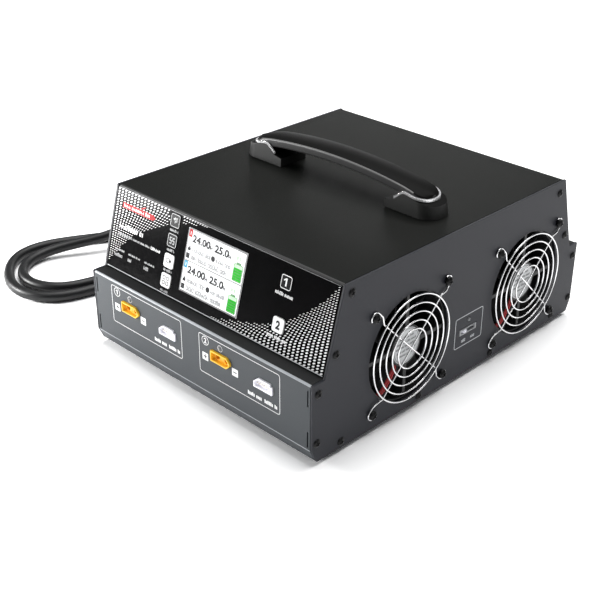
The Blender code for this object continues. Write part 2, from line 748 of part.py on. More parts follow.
def fans():
    for name, y in FAN_Y.items():
        fan_frame(name, y)
        fan_rotor(name, y)
        fan_guard(name, y)
        guard_screws(name, y)


# ---------------------------------------------------------------- selector switch


def selector():
    at = (CASE_WIDTH / 2, SELECTOR[0], CASE_BASE + SELECTOR[1])
    body = prism(rectangle(*SELECTOR_SIZE), -0.009, GAP, "X")
    housing = piece("selector_housing", body, "light_lens", at)
    slot = prism(rectangle(*SELECTOR_SLOT), -0.006, 0.001, "X")
    combine(housing, "selector_hollow", slot, location=at)
    width = SELECTOR_SLOT[0] - SELECTOR_TRAVEL - 2 * GAP
    rest_y = at[1] - SELECTOR_SLOT[0] / 2 + GAP + width / 2
    knob = prism(rectangle(width, SELECTOR_SLOT[1] - 2 * GAP), -0.0055, -0.0012, "X")
    slider = piece("selector_slider", knob, "socket_white", (at[0], rest_y, at[2]))
    nub = prism(rectangle(0.0030, 0.0018), -0.0016, 0.0006, "X")
    combine(slider, "selector_nub", nub, "UNION", location=slider.location)
    light = (CASE_WIDTH / 2, SIDE_LIGHT[0], CASE_BASE + SIDE_LIGHT[1])
    status_light("side_light", light, (0, math.pi / 2, 0))


# ---------------------------------------------------------------- handle


def arch_drop(x):
    past = max(abs(x) - GRIP_DIP_START, 0) / (GRIP_HALF_LENGTH - GRIP_DIP_START)
    return x * x / (2 * GRIP_ARCH) + GRIP_DIP * past**2


def grip_half_width(x, half_width):
    """Half the grip's width at x: full along the bar, rounded at its ends."""
    past = abs(x) - (GRIP_HALF_LENGTH - GRIP_END_RADIUS)
    if past <= 0:
        return half_width
    return half_width - GRIP_END_RADIUS + math.sqrt(max(GRIP_END_RADIUS**2 - past**2, 0))


def grip_stations():
    straight = GRIP_HALF_LENGTH - GRIP_END_RADIUS
    inner = [straight * k / 8 for k in range(8)]
    outer = [straight + GRIP_END_RADIUS * math.sin(math.radians(a)) for a in (0, 20, 40, 58, 74, 90)]
    half = inner + outer
    return [-x for x in reversed(half[1:])] + half


def grip_solid(grow=0.0, top_extra=0.0):
    """The arched bar: flat below, slightly crowned on top, with softened edges."""
    sections = []
    for x in grip_stations():
        w = grip_half_width(x, GRIP_HALF_WIDTH) + grow
        top = LID_Z + GRIP_TOP - arch_drop(x) + top_extra
        low = LID_Z + GRIP_TOP - GRIP_THICKNESS - arch_drop(x) - grow
        soft = 0.0012
        reach = x * (1 + grow / GRIP_HALF_LENGTH)
        ring = [
            (-w + soft, low), (w - soft, low), (w, low + soft), (w, top - soft),
            (w - soft, top), (w * 0.5, top + GRIP_CROWN * 0.75), (0, top + GRIP_CROWN),
            (-w * 0.5, top + GRIP_CROWN * 0.75), (-w + soft, top), (-w, top - soft), (-w, low + soft),
        ]
        sections.append([(reach, y, z) for y, z in ring])
    return loft(sections)


def foot_plan(side, outer, half_width, corner, inner=HANDLE_FOOT_IN):
    """The handle foot from above: square towards the middle, rounded at the outer end."""
    plan = [(inner, -half_width), (inner, half_width)]
    for k in range(6):
        a = math.radians(90 - 18 * k)
        plan.append((outer - corner + corner * math.cos(a), half_width - corner + corner * math.sin(a)))
    plan += [(x, -y) for x, y in reversed(plan[2:])]
    return [(side * x, y) for x, y in plan]


def foot_blank(side, low):
    """The tapered block that a foot is cut from: its outer end leans in most."""
    size = (HANDLE_FOOT_OUT, HANDLE_FOOT_HALF_WIDTH, HANDLE_FOOT_CORNER)
    end, flank = HANDLE_FOOT_TAPER
    top_size = (size[0] - end, size[1] - flank, size[2] - flank)
    base = [(x, y, low) for x, y in foot_plan(side, *size)]
    top = [(x, y, low + HANDLE_FOOT_BLANK) for x, y in foot_plan(side, *top_size)]
    return loft([base, top])


def handle_foot(name, side):
    rim = [(side * x, LID_Z + z) for x, z in HANDLE_RIM]
    ends = [(side * HANDLE_FOOT_OUT, LID_Z + GAP), (side * HANDLE_FOOT_IN, LID_Z + GAP)]
    foot = piece(f"handle_foot_{name}", foot_blank(side, LID_Z + GAP), "grip_plastic")
    w = HANDLE_FOOT_HALF_WIDTH + 0.001
    inner_end = (rim[0][0] - side * 0.001, rim[0][1])
    outer_end = (rim[-1][0] + side * 0.001, rim[-1][1])
    stretched = [inner_end] + rim[1:-1] + [outer_end]
    low = [(p[0] + side * s, p[1] - 0.001) for p, s in zip(ends, (0.001, -0.001))]
    combine(foot, f"foot_profile_{name}", prism(stretched + low, -w, w, "Y"), "INTERSECT")
    combine(foot, f"grip_seat_{name}", grip_solid(GAP, 0.010))


def handle_trim(name, side):
    """A thin bright band that stands on the foot's rim, round the end of the grip."""
    rim = [(x, LID_Z + z + GAP) for x, z in HANDLE_RIM[1:-1]]
    rim.append((HANDLE_FOOT_OUT + 0.001, LID_Z + HANDLE_RIM[-1][1] + GAP))
    band = rim + [(x, z + TRIM_HEIGHT) for x, z in reversed(rim)]
    band = [(side * x, z) for x, z in band]
    w = HANDLE_FOOT_HALF_WIDTH + 0.001
    trim = piece(f"handle_trim_{name}", prism(band, -w, w, "Y"), "trim_chrome")
    clear = [size + GAP for size in (GRIP_HALF_LENGTH, GRIP_HALF_WIDTH, GRIP_END_RADIUS)]
    outside = foot_plan(side, *[size + TRIM_WIDTH for size in clear])
    inside = foot_plan(side, *clear, HANDLE_FOOT_IN - 0.010)
    combine(trim, f"trim_outside_{name}", prism(outside, LID_Z, LID_Z + 0.030), "INTERSECT")
    combine(trim, f"trim_inside_{name}", prism(inside, LID_Z - 0.001, LID_Z + 0.031))


def handle():
    piece("handle_grip", grip_solid(), "grip_plastic", smooth=True)
    for name, side in (("left", -1), ("right", 1)):
        handle_foot(name, side)
        handle_trim(name, side)


# ---------------------------------------------------------------- rear wall


def power_switch(tray):
    at = (SWITCH_X, HALF_DEPTH, SWITCH_Z)
    body = (0.0268, 0.0190)
    hole = prism(rectangle(body[0] + 2 * GAP, body[1] + 2 * GAP), -0.006, 0.006, "Y")
    combine(tray, "switch_hole", hole, location=at)
    flange = prism(rectangle(*SWITCH_FLANGE, 0.002), GAP, 0.0020, "Y")
    housing = piece("power_switch_housing", flange, "black_plastic", at)
    combine(housing, "switch_body", prism(rectangle(*body), -0.0140, 0.0010, "Y"), "UNION", location=at)
    combine(housing, "switch_hollow", prism(rectangle(*SWITCH_CAVITY), -0.0085, 0.003, "Y"), location=at)
    outline = [(-0.0090, -0.0050), (0.0090, -0.0050), (0.0110, 0.0032), (0, 0.0016), (-0.0110, 0.0032)]
    rocker = prism(outline, -SWITCH_CAVITY[1] / 2 + GAP, SWITCH_CAVITY[1] / 2 - GAP)
    tilt = (0, 0, math.radians(ROCKER_TILT))
    piece("power_switch_rocker", rocker, "black_plastic", at, tilt)


def cable_gland(tray):
    at = (GLAND_X, HALF_DEPTH, GLAND_Z)
    combine(tray, "gland_hole", prism(circle(0.0068, 20), -0.006, 0.006, "Y"), location=at)
    profile = [
        (0, -0.010), (0.0065, -0.010), (0.0065, GAP), (0.0105, GAP), (0.0105, 0.0055),
        (0.0085, 0.0070), (0.0078, 0.0080), (0.0060, GLAND_LENGTH), (0, GLAND_LENGTH),
    ]
    piece("cable_gland", turned(profile, 20, "Y"), "black_plastic", at, smooth=True)


# ---------------------------------------------------------------- mains lead


def smooth_route(route, spacing):
    """Points at an even spacing along the cubic B-spline of the route's control points."""
    control = [Vector(p) for p in route]
    control = [2 * control[0] - control[1]] + control + [2 * control[-1] - control[-2]]
    fine = []
    for a, b, c, d in zip(control, control[1:], control[2:], control[3:]):
        for k in range(24):
            t = k / 24
            near = (1 - t) ** 3 * a + (3 * t**3 - 6 * t**2 + 4) * b
            far = (3 * t**2 + 3 * t - 3 * t**3 + 1) * c + t**3 * d
            fine.append((near + far) / 6)
    fine.append(control[-2])
    lengths = [0.0]
    for a, b in zip(fine, fine[1:]):
        lengths.append(lengths[-1] + (b - a).length)
    count = round(lengths[-1] / spacing)
    points = []
    i = 0
    for k in range(count + 1):
        want = lengths[-1] * k / count
        while i < len(fine) - 2 and lengths[i + 1] < want:
            i += 1
        share = (want - lengths[i]) / (lengths[i + 1] - lengths[i])
        points.append(fine[i].lerp(fine[i + 1], min(share, 1.0)))
    return points


def power_cord():
    points = smooth_route(CORD_ROUTE, CORD_POINT_SPACING)
    curve = bpy.data.curves.new("power_cord", "CURVE")
    curve.dimensions = "3D"
    curve.bevel_depth = CORD_DIAMETER / 2
    curve.bevel_resolution = 3
    curve.use_fill_caps = True
    spline = curve.splines.new("POLY")
    spline.points.add(len(points) - 1)
    for slot, point in zip(spline.points, points):
        slot.co = (*point, 1.0)
    curve.materials.append(bpy.data.materials["cord_rubber"])
    cord = bpy.data.objects.new("power_cord", curve)
    bpy.context.collection.objects.link(cord)
    return points


def power_plug(points):
    """A moulded three-pin plug at the lead's end, in line with it; it looks along its own Y."""
    run = points[-1] - points[-2]
    heading = math.atan2(run.y, run.x) - math.pi / 2
    at = points[-1] + run.normalized() * GAP
    turn = (0, 0, heading)
    width, height = PLUG_SIZE[0] / 2, PLUG_SIZE[1] / 2
    stations = ((0.0, 0.30), (0.012, 0.40), (0.018, 0.80), (0.024, 0.94), (0.040, 1.0), (PLUG_LENGTH, 0.97))
    sections = []
    for y, share in stations:
        outline = rectangle(2 * width * share, 2 * height * share, 0.006 * share)
        sections.append([(x, y, z) for x, z in outline])
    plug = piece("power_plug", loft(sections), "cord_rubber", at, turn)
    for name, x in (("live", -0.00635), ("neutral", 0.00635)):
        pin = block((0.0015, 0.018, 0.0063), (x, PLUG_LENGTH + 0.007, -0.002))
        combine(plug, f"blade_{name}", pin, "UNION", location=at, rotation=turn)
    low, high = PLUG_LENGTH - 0.002, PLUG_LENGTH + 0.018
    earth = turned([(0, low), (0.0024, low), (0.0024, high - 0.001), (0.0016, high), (0, high)], 12, "Y")
    bmesh.ops.translate(earth, vec=(0, 0, 0.0065), verts=earth.verts)
    combine(plug, "blade_earth", earth, "UNION", location=at, rotation=turn)


# ---------------------------------------------------------------- inside


def fin_outline(width, height, base, fins, fin):
    """A heat sink's cross-section: a plate with upright fins."""
    outline = [(-width / 2, 0), (width / 2, 0)]
    pitch = (width - fin) / (fins - 1)
    for k in range(fins):
        right = width / 2 - k * pitch
        outline += [(right, height), (right - fin, height)]
        if k < fins - 1:
            outline += [(right - fin, base), (right - pitch, base)]
    return outline


def inside():
    board = block((0.176, 0.232, 0.0016), (-0.013, 0.004, BOARD_Z + 0.0008))
    piece("power_board", board, "board_green")
    on_board = BOARD_Z + 0.0016 + GAP
    for name, y in (("front", -0.066), ("rear", 0.052)):
        fins = prism(fin_outline(0.050, 0.052, 0.005, 8, 0.0016), -0.045, 0.045, "Y")
        piece(f"heat_sink_{name}", fins, "sink_aluminium", (-0.060, y, on_board))
    core_place = (0.012, -0.060, on_board)
    core = piece("transformer", block((0.044, 0.030, 0.036), (0, 0, 0.020)), "winding_tape", core_place)
    winding = turned([(0, 0.0), (0.0195, 0.0), (0.0195, 0.040), (0, 0.040)], 20)
    combine(core, "winding", winding, "UNION", location=core.location)
    can = [(0, 0), (0.0148, 0), (0.0150, 0.0012), (0.0150, 0.044), (0.0140, 0.045), (0, 0.045)]
    piece("filter_capacitor", turned(can, 24), "can_sleeve", (0.010, 0.040, on_board), smooth=True)


def build():
    clear_scene()
    make_materials()
    tray = base_tray()
    cover = top_cover()
    left_side_panel()
    right_side_panel()
    rubber_feet()
    control_panel(cover)
    front_wall(tray)
    fans()
    selector()
    handle()
    power_switch(tray)
    cable_gland(tray)
    power_plug(power_cord())
    inside()


build()
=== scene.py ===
"""The look of a two-channel balance battery charger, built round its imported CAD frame.

Metres, in the CAD's own frame: +X right, +Y rear, +Z up, the table at z = 0.
"""

import math
import random

import bmesh
import bpy
from mathutils import Matrix, Vector


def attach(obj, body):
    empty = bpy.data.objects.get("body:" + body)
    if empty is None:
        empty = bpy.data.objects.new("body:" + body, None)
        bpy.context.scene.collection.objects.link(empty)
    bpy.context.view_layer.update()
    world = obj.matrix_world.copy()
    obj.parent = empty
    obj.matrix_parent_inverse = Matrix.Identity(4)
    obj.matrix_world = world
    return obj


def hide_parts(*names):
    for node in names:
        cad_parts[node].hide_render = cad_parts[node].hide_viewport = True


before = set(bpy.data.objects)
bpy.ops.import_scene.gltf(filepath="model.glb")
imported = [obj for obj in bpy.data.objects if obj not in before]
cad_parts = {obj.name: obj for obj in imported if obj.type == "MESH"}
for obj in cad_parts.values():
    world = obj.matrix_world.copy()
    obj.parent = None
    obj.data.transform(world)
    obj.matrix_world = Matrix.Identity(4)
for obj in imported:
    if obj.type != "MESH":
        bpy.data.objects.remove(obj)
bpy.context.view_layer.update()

# ---------------------------------------------------------------- sizes shared with the CAD

GAP = 0.0003
BASE = 0.003
HALF_W = 0.110
HALF_D = 0.143
LID = BASE + 0.116
WALL_TOP = BASE + 0.0574
STEP = 0.0106
SETBACK = 0.027
CHAMFER = (0.0043, 0.0095)
SHEET = 0.0012
PLATE = 0.0017
LEAN = math.atan2(SETBACK - STEP, LID - WALL_TOP)
STRIP_W = HALF_W - PLATE - GAP
SEAM_SLOT = (0.0011, 0.006, 0.0115)
SEAM_HEIGHTS = (0.0470, 0.0170)
FAN_Y = {"front": -0.0529, "rear": 0.0759}
FAN_Z = BASE + 0.0477
FAN_FACE = HALF_W - PLATE - GAP
FAN_PITCH = 0.0715  # between the screws of a fan's guard
FAN_SIZE = 0.080
FAN_DEEP = 0.025
FAN_BORE = 0.038
FAN_HOLE = 0.0393  # in the side plate
SCREW_HOLE = 0.0022
BLADES = 7
BLADE_REACH = (0.0140, 0.0345)
WHEEL_ENDS = (-0.0042, -0.0210)
GUARD_RINGS = (0.038, 0.032, 0.026, 0.020, 0.014)
GUARD_WIRE = 0.0006
GUARD_STAND = 0.0027
HOOK = 0.0036
POST_X = (-0.092, 0.068)
POST_Y = (-0.104, 0.112)
CHANNEL_X = (-0.0672, 0.0272)
OUTPUT_Z = BASE + 0.0380
DISPLAY = (-0.00085, 0.0315, 0.0573, 0.0440)
DISPLAY_DROP = 21.5  # in millimetres, between its two blocks of readings
SELECTOR_SLOT = (0.0150, 0.0026)
SELECTOR_THROW = 0.0070
SELECTOR = (0.0106, BASE + 0.0352)
SIDE_LIGHT = (0.0110, BASE + 0.0430)
SWITCH = (0.055, HALF_D, BASE + 0.031)
SWITCH_BODY = (0.0268, 0.0190)
LENS_RADIUS = 0.0016
KEY_SIZE = 0.0100
KEYS = {
    "menu_key_1": (-0.0435, 0.0535),
    "menu_key_2": (-0.0435, 0.0395),
    "menu_key_3": (-0.0435, 0.0250),
    "menu_key_4": (-0.0435, 0.0110),
    "channel_key_1": (0.0645, 0.0470),
    "channel_key_2": (0.0645, 0.0188),
}
PANEL = Matrix.Translation((0, -HALF_D + STEP, WALL_TOP)) @ Matrix.Rotation(math.pi / 2 - LEAN, 4, "X")
FACE_FRONT = Matrix.Rotation(math.pi / 2, 4, "X")
FACE_RIGHT = Matrix.Rotation(math.pi / 2, 4, "Y")
FRONT = Matrix.Translation((0, -HALF_D, BASE)) @ FACE_FRONT
RIGHT = Matrix(((0, 0, 1, HALF_W), (1, 0, 0, 0), (0, 1, 0, BASE), (0, 0, 0, 1)))

# ---------------------------------------------------------------- camera


CAMERA_PLACE = (0.507925, -0.556046, 0.429055)
CAMERA_TURN = (44.71, 28.35, 0.20)  # azimuth, elevation and roll in degrees
FOCAL_LENGTH = 68.32
SENSOR = 36.0


def place_camera():
    azimuth, elevation, roll = (math.radians(a) for a in CAMERA_TURN)
    level = math.cos(elevation)
    back = Vector((math.sin(azimuth) * level, -math.cos(azimuth) * level, math.sin(elevation)))
    side = Vector((0, 0, 1)).cross(back).normalized()
    up = back.cross(side)
    right = side * math.cos(roll) + up * math.sin(roll)
    top = up * math.cos(roll) - side * math.sin(roll)
    lens = bpy.data.cameras.new("camera")
    lens.lens = FOCAL_LENGTH
    lens.sensor_width = SENSOR
    lens.clip_start = 0.02
    lens.clip_end = 50.0
    camera = bpy.data.objects.new("camera", lens)
    bpy.context.collection.objects.link(camera)
    turn = Matrix((right, top, back)).transposed()
    camera.matrix_world = Matrix.Translation(CAMERA_PLACE) @ turn.to_4x4()
    bpy.context.scene.camera = camera


place_camera()

# ---------------------------------------------------------------- materials


def shader(name):
    made = bpy.data.materials.new(name)
    made.use_nodes = True
    return made, made.node_tree.nodes, made.node_tree.links, made.node_tree.nodes["Principled BSDF"]


def mix(nodes, links, factor, first, second):
    """Blends two colours; each one is a socket or a colour."""
    node = nodes.new("ShaderNodeMix")
    node.data_type = "RGBA"
    links.new(factor, node.inputs[0])
    for slot, value in ((node.inputs[6], first), (node.inputs[7], second)):
        if isinstance(value, tuple):
            slot.default_value = (*value, 1)
        else:
            links.new(value, slot)
    return node.outputs[2]


def link_noise(nodes, links, coords, scale, detail, stretch=(1, 1, 1)):
    place = nodes.new("ShaderNodeMapping")
    place.inputs["Scale"].default_value = stretch
    links.new(coords, place.inputs["Vector"])
    noise = nodes.new("ShaderNodeTexNoise")
    noise.inputs["Scale"].default_value = scale
    noise.inputs["Detail"].default_value = detail
    links.new(place.outputs["Vector"], noise.inputs["Vector"])
    return noise.outputs["Fac"]


def ramp(nodes, links, source, low, high, start=0.3, end=0.7):
    span = nodes.new("ShaderNodeMapRange")
    span.inputs["From Min"].default_value = start
    span.inputs["From Max"].default_value = end
    span.inputs["To Min"].default_value = low
    span.inputs["To Max"].default_value = high
    links.new(source, span.inputs["Value"])
    return span.outputs["Result"]


def finish(
    name, colour, rough, metal=0.0, vary=0.12, patch=14.0, grain=1400.0, bump=0.00003, spread=0.05,
    specular=0.5, stretch=(1, 1, 1), dust=0.0, glow=0.0, wear=0.0, clear=0.0,
):
    """A surface whose colour drifts in patches, with a fine grain in its gloss and relief."""
    made, nodes, links, bsdf = shader(name)
    coords = nodes.new("ShaderNodeTexCoord").outputs["Object"]
    drift = link_noise(nodes, links, coords, patch, 4.0)
    fine = link_noise(nodes, links, coords, grain, 2.0, stretch)
    dark = tuple(c * (1 - vary) for c in colour)
    brightest = max(1.0, *colour)
    light = tuple(min(c * (1 + vary), brightest) for c in colour)
    shade = mix(nodes, links, ramp(nodes, links, drift, 0.0, 1.0, 0.25, 0.75), dark, light)
    speck = tuple(min(c * 1.3 + 0.002, brightest) for c in colour)
    shade = mix(nodes, links, ramp(nodes, links, fine, 0.0, 0.55, 0.55, 0.8), shade, speck)
    # painted highlight: sharp convex edges, found by pointiness, are blended towards a lighter copy of the
    # colour, standing in for the light they catch
    if wear:
        edge = nodes.new("ShaderNodeNewGeometry").outputs["Pointiness"]
        sheen_colour = tuple(c * 2.2 + 0.03 for c in colour)
        shade = mix(nodes, links, ramp(nodes, links, edge, 0.0, wear, 0.52, 0.60), shade, sheen_colour)
    if dust:
        haze = ramp(nodes, links, link_noise(nodes, links, coords, 60.0, 8.0), 0.0, dust, 0.5, 0.8)
        shade = mix(nodes, links, haze, shade, (0.32, 0.31, 0.30))
    links.new(shade, bsdf.inputs["Base Color"])
    links.new(ramp(nodes, links, fine, rough - spread, rough + spread), bsdf.inputs["Roughness"])
    relief = nodes.new("ShaderNodeBump")
    relief.inputs["Strength"].default_value = 1.0
    relief.inputs["Distance"].default_value = bump
    links.new(fine, relief.inputs["Height"])
    links.new(relief.outputs["Normal"], bsdf.inputs["Normal"])
    bsdf.inputs["Metallic"].default_value = metal
    bsdf.inputs["Specular IOR Level"].default_value = specular
    bsdf.inputs["Transmission Weight"].default_value = clear
    if glow:
        links.new(shade, bsdf.inputs["Emission Color"])
        bsdf.inputs["Emission Strength"].default_value = glow
    return made


MAT = {}


def coat(name, colour, rough, **look):
    """Keeps a finish under its own name, for the pieces to ask for."""
    MAT[name] = finish("mat_" + name, colour, rough, **look)


POWDER = {"grain": 2600, "bump": 0.00004}
PRINTED = {"patch": 300, "grain": 4000, "bump": 0.000004}

# the lid paint's sharp edges get a painted highlight
coat("paint", (0.0072, 0.0077, 0.0068), 0.5, specular=0.055, wear=0.2, **POWDER)
# the side plates' sharp edges get a painted highlight
coat("paint_side", (0.015, 0.0158, 0.021), 0.48, vary=0.1, specular=0.24, wear=0.4, **POWDER)
# painted shade: the tray's level ledge under the slanted panel takes this much darker copy of the tray paint
coat("paint_ledge_shade", (0.014, 0.0145, 0.015), 0.52, vary=0.1, specular=0.22, **POWDER)
# painted highlight: the tray's bent edges take this light copy of the paint
coat("paint_bend_highlight", (0.34, 0.36, 0.38), 0.36, vary=0.14, patch=60, **POWDER)
# painted highlight: the lid's bent front edge takes this lighter copy of the paint
coat("paint_lid_bend_highlight", (0.034, 0.035, 0.034), 0.4, vary=0.16, patch=60, specular=0.4, **POWDER)
# painted light: the tray takes this copy of the paint, several times lighter than on the lid, for the front
# light its wall catches
coat("paint_tray", (0.049, 0.055, 0.061), 0.42, vary=0.07, specular=0.26, **POWDER)
coat(
    "film", (0.0026, 0.0026, 0.0028), 0.16, vary=0.2, patch=40, grain=900, bump=0.000004, spread=0.03,
    specular=0.02,
)
coat("ink_white", (0.78, 0.78, 0.78), 0.4, vary=0.06, **PRINTED)
coat("ink_grey", (0.34, 0.345, 0.35), 0.4, vary=0.1, **PRINTED)
coat("ink_dim", (0.085, 0.087, 0.09), 0.4, vary=0.1, **PRINTED)
coat("ink_red", (0.42, 0.003, 0.008), 0.45, vary=0.1, patch=200, grain=4000, bump=0.000004, specular=0.1)
coat("ink_dark", (0.018, 0.018, 0.02), 0.4, specular=0.1, **PRINTED)
coat("ink_leaf_dark", (0.03, 0.2, 0.035), 0.35, **PRINTED)
coat("ink_green", (0.001, 0.38, 0.002), 0.4, vary=0.1, specular=0.08, glow=0.15, **PRINTED)
coat("ink_cyan", (0.008, 0.26, 0.42), 0.4, vary=0.08, specular=0.2, glow=0.1, **PRINTED)
coat("ink_pale", (0.5, 0.52, 0.54), 0.35, vary=0.08, **PRINTED)
coat("ink_dot", (0.74, 0.74, 0.74), 0.4, vary=0.06, **PRINTED)
coat("ink_screen", (0.2, 0.205, 0.21), 0.35, vary=0.1, **PRINTED)
coat("ink_leaf", (0.44, 0.74, 0.44), 0.35, vary=0.08, glow=0.1, **PRINTED)
coat(
    "screen", (0.86, 0.87, 0.88), 0.22, vary=0.02, patch=90, grain=6000, bump=0.000002, spread=0.02,
    glow=0.35,
)
coat("bezel", (0.17, 0.17, 0.175), 0.35, vary=0.1, patch=90, grain=2500, bump=0.00001)
coat("key_white", (0.8, 0.8, 0.79), 0.38, vary=0.03, patch=150, grain=2500, bump=0.000012)
coat(
    "key_black", (0.0032, 0.0032, 0.0034), 0.3, vary=0.15, patch=150, grain=2500, bump=0.000008,
    specular=0.08,
)
coat("plastic", (0.0125, 0.0125, 0.013), 0.46, vary=0.15, patch=60, grain=1800, bump=0.00004, dust=0.02)
coat("rotor", (0.0035, 0.0035, 0.0036), 0.5, vary=0.15, patch=60, grain=1800, specular=0.15)
coat(
    "label", (0.6, 0.61, 0.62), 0.36, metal=0.15, vary=0.08, patch=70, grain=900, bump=0.00001,
    stretch=(1, 0.12, 1),
)
coat(
    "wire", (0.84, 0.84, 0.85), 0.16, metal=1.0, vary=0.04, patch=90, grain=1300, bump=0.000012,
    spread=0.06,
)
# painted reflection: the chrome trim glows a little though it is no lamp, standing in for the bright studio
# it would reflect
coat(
    "trim", (0.92, 0.92, 0.93), 0.2, metal=0.8, vary=0.03, patch=90, grain=1300, bump=0.000003, spread=0.03,
    glow=0.1,
)
# the screw heads' sharp edges get a painted highlight
coat(
    "screw", (0.0028, 0.0028, 0.003), 0.36, vary=0.15, patch=200, grain=2200, bump=0.00002, specular=0.22,
    wear=0.15,
)
# painted light: the yellow nylon glows a little though it is no lamp, brightening it
coat("yellow", (0.92, 0.53, 0.036), 0.36, vary=0.1, patch=260, grain=2000, bump=0.00002, glow=0.1)
# painted shade: the socket's inner seat takes this darker orange copy of its yellow nylon, for the shade
# inside its mouth; it also glows a little as painted light
coat("yellow_deep", (0.8, 0.38, 0.016), 0.4, vary=0.1, patch=200, grain=2000, glow=0.05)
coat("gold", (0.83, 0.58, 0.24), 0.24, metal=1.0, vary=0.08, patch=150, grain=1800, bump=0.00001)
# painted light: the white nylon glows though it is no lamp, lifting the shade in its socket cavities
coat("nylon", (0.84, 0.84, 0.9), 0.42, vary=0.04, patch=120, grain=2000, bump=0.00002, glow=0.16)
coat("lens", (0.22, 0.23, 0.24), 0.14, vary=0.06, patch=200, grain=1500, bump=0.000006, clear=0.35)
coat("switch_grey", (0.3, 0.305, 0.315), 0.42, vary=0.08, patch=150, grain=2200, bump=0.00002)
coat(
    "grip", (0.026, 0.026, 0.026), 0.36, vary=0.08, patch=45, grain=1500, bump=0.000002, spread=0.02,
    specular=0.3,
)
# painted shade: the grip's up-facing faces and ends, and the tops of the feet, take this darker copy of its
# plastic
coat("grip_top_shade", (0.0042, 0.0042, 0.004), 0.5, patch=45, grain=1500, bump=0.00001, specular=0.04)
# painted highlight: the crease between the grip's top and sides takes this light copy of its plastic
coat("grip_crease_highlight", (0.15, 0.15, 0.148), 0.3, patch=60, grain=1500, bump=0.000002)
coat(
    "grip_foot", (0.026, 0.0265, 0.0255), 0.42, patch=45, grain=1500, bump=0.000008, spread=0.04,
    specular=0.2,
)
coat(
    "rubber", (0.018, 0.018, 0.018), 0.8, vary=0.18, patch=70, grain=1600, bump=0.00008, specular=0.25,
    dust=0.05,
)
coat("cord", (0.0065, 0.0067, 0.0072), 0.44, vary=0.14, patch=30, grain=900, spread=0.07, specular=0.34)
coat("aluminium", (0.68, 0.69, 0.71), 0.36, metal=1.0, vary=0.07, patch=60, grain=900, stretch=(1, 0.05, 1))
coat("board", (0.012, 0.095, 0.04), 0.4, vary=0.2, patch=160, grain=1500)
coat("tape", (0.58, 0.42, 0.045), 0.44, vary=0.1, patch=90, grain=1500, bump=0.00004, stretch=(1, 1, 0.1))
coat("sleeve", (0.02, 0.028, 0.07), 0.32, patch=80, grain=1500, bump=0.00002)
coat("lead_red", (0.42, 0.022, 0.025), 0.45, vary=0.1, patch=120, grain=1800)
coat(
    "brass_blade", (0.78, 0.72, 0.6), 0.25, metal=1.0, vary=0.06, patch=90, grain=1500, bump=0.00001,
    stretch=(1, 0.1, 1),
)

# ---------------------------------------------------------------- mesh helpers


def settle(made, body, nodes):
    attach(made, body)
    if nodes:
        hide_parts(*nodes)
    return made


def add(
    name, shape, mat, body="case", nodes=(), sharp=35, matrix=None, bevel=0.0, segments=2,
    ride=True,
):
    """Makes a piece from a bmesh: bevelled if asked, smooth-shaded between its sharp edges."""
    if matrix is not None:
        shape.transform(matrix)
    bmesh.ops.recalc_face_normals(shape, faces=shape.faces)
    mesh = bpy.data.meshes.new(name)
    shape.to_mesh(mesh)
    shape.free()
    made = bpy.data.objects.new(name, mesh)
    bpy.context.collection.objects.link(made)
    for each in mat if isinstance(mat, (list, tuple)) else [mat]:
        mesh.materials.append(MAT[each])
    made["bevel_width"] = bevel
    made["sharp"] = sharp
    if ride:
        settle(made, body, nodes)
        polish(made, segments)
    else:
        made["late"] = 1
    return made


def bake(made):
    """Applies the modifiers by making a new mesh."""
    graph = bpy.context.evaluated_depsgraph_get()
    mesh = bpy.data.meshes.new_from_object(
        made.evaluated_get(graph), preserve_all_data_layers=True, depsgraph=graph
    )
    made.modifiers.clear()
    old = made.data
    made.data = mesh
    bpy.data.meshes.remove(old)


def polish(made, segments=2):
    """Softens the hard edges and shades the rest smoothly, large faces staying flat."""
    width, sharp = made["bevel_width"], made["sharp"]
    del made["bevel_width"]
    del made["sharp"]
    if width:
        soften = made.modifiers.new("soften", "BEVEL")
        soften.width = width
        soften.segments = segments
        soften.limit_method = "ANGLE"
        soften.angle_limit = math.radians(32)
        soften.use_clamp_overlap = True
        soften.miter_outer = "MITER_ARC"
        bake(made)
    made.data.shade_smooth()
    made.data.set_sharp_from_angle(angle=math.radians(sharp))
    flatten = made.modifiers.new("flatten", "WEIGHTED_NORMAL")
    flatten.keep_sharp = True
    bake(made)


def carve(made, cutters, operation="DIFFERENCE"):
    """Cuts away several shapes that stay clear of each other, in one step."""
    joined = merged(cutters)
    mesh = bpy.data.meshes.new("cutter")
    joined.to_mesh(mesh)
    joined.free()
    tool = bpy.data.objects.new("cutter", mesh)
    bpy.context.collection.objects.link(tool)
    step = made.modifiers.new("carve", "BOOLEAN")
    step.operation = operation
    step.solver = "EXACT"
    step.object = tool
    bake(made)
    bpy.data.objects.remove(tool)
    bpy.data.meshes.remove(mesh)
    return made


def done(made, body="case", nodes=(), segments=2):
    del made["late"]
    settle(made, body, nodes)
    polish(made, segments)
    return made


def rounded(points, radius, steps=5, closed=True):
    """The same path with each corner bent, by less where its runs are short."""
    result = []
    count = len(points)
    for i, corner in enumerate(points):
        if not closed and i in (0, count - 1):
            result.append(tuple(corner))
            continue
        here = Vector(corner)
        back = Vector(points[i - 1]) - here
        ahead = Vector(points[(i + 1) % count]) - here
        half_angle = back.angle(ahead) / 2
        reach = min(radius / math.tan(half_angle), back.length * 0.45, ahead.length * 0.45)
        start = here + back.normalized() * reach
        end = here + ahead.normalized() * reach
        for k in range(steps + 1):
            t = k / steps
            bent = start * (1 - t) ** 2 + here * 2 * t * (1 - t) + end * t * t
            result.append(tuple(bent))
    return result


SQUARE = ((-1, -1), (1, -1), (1, 1), (-1, 1))


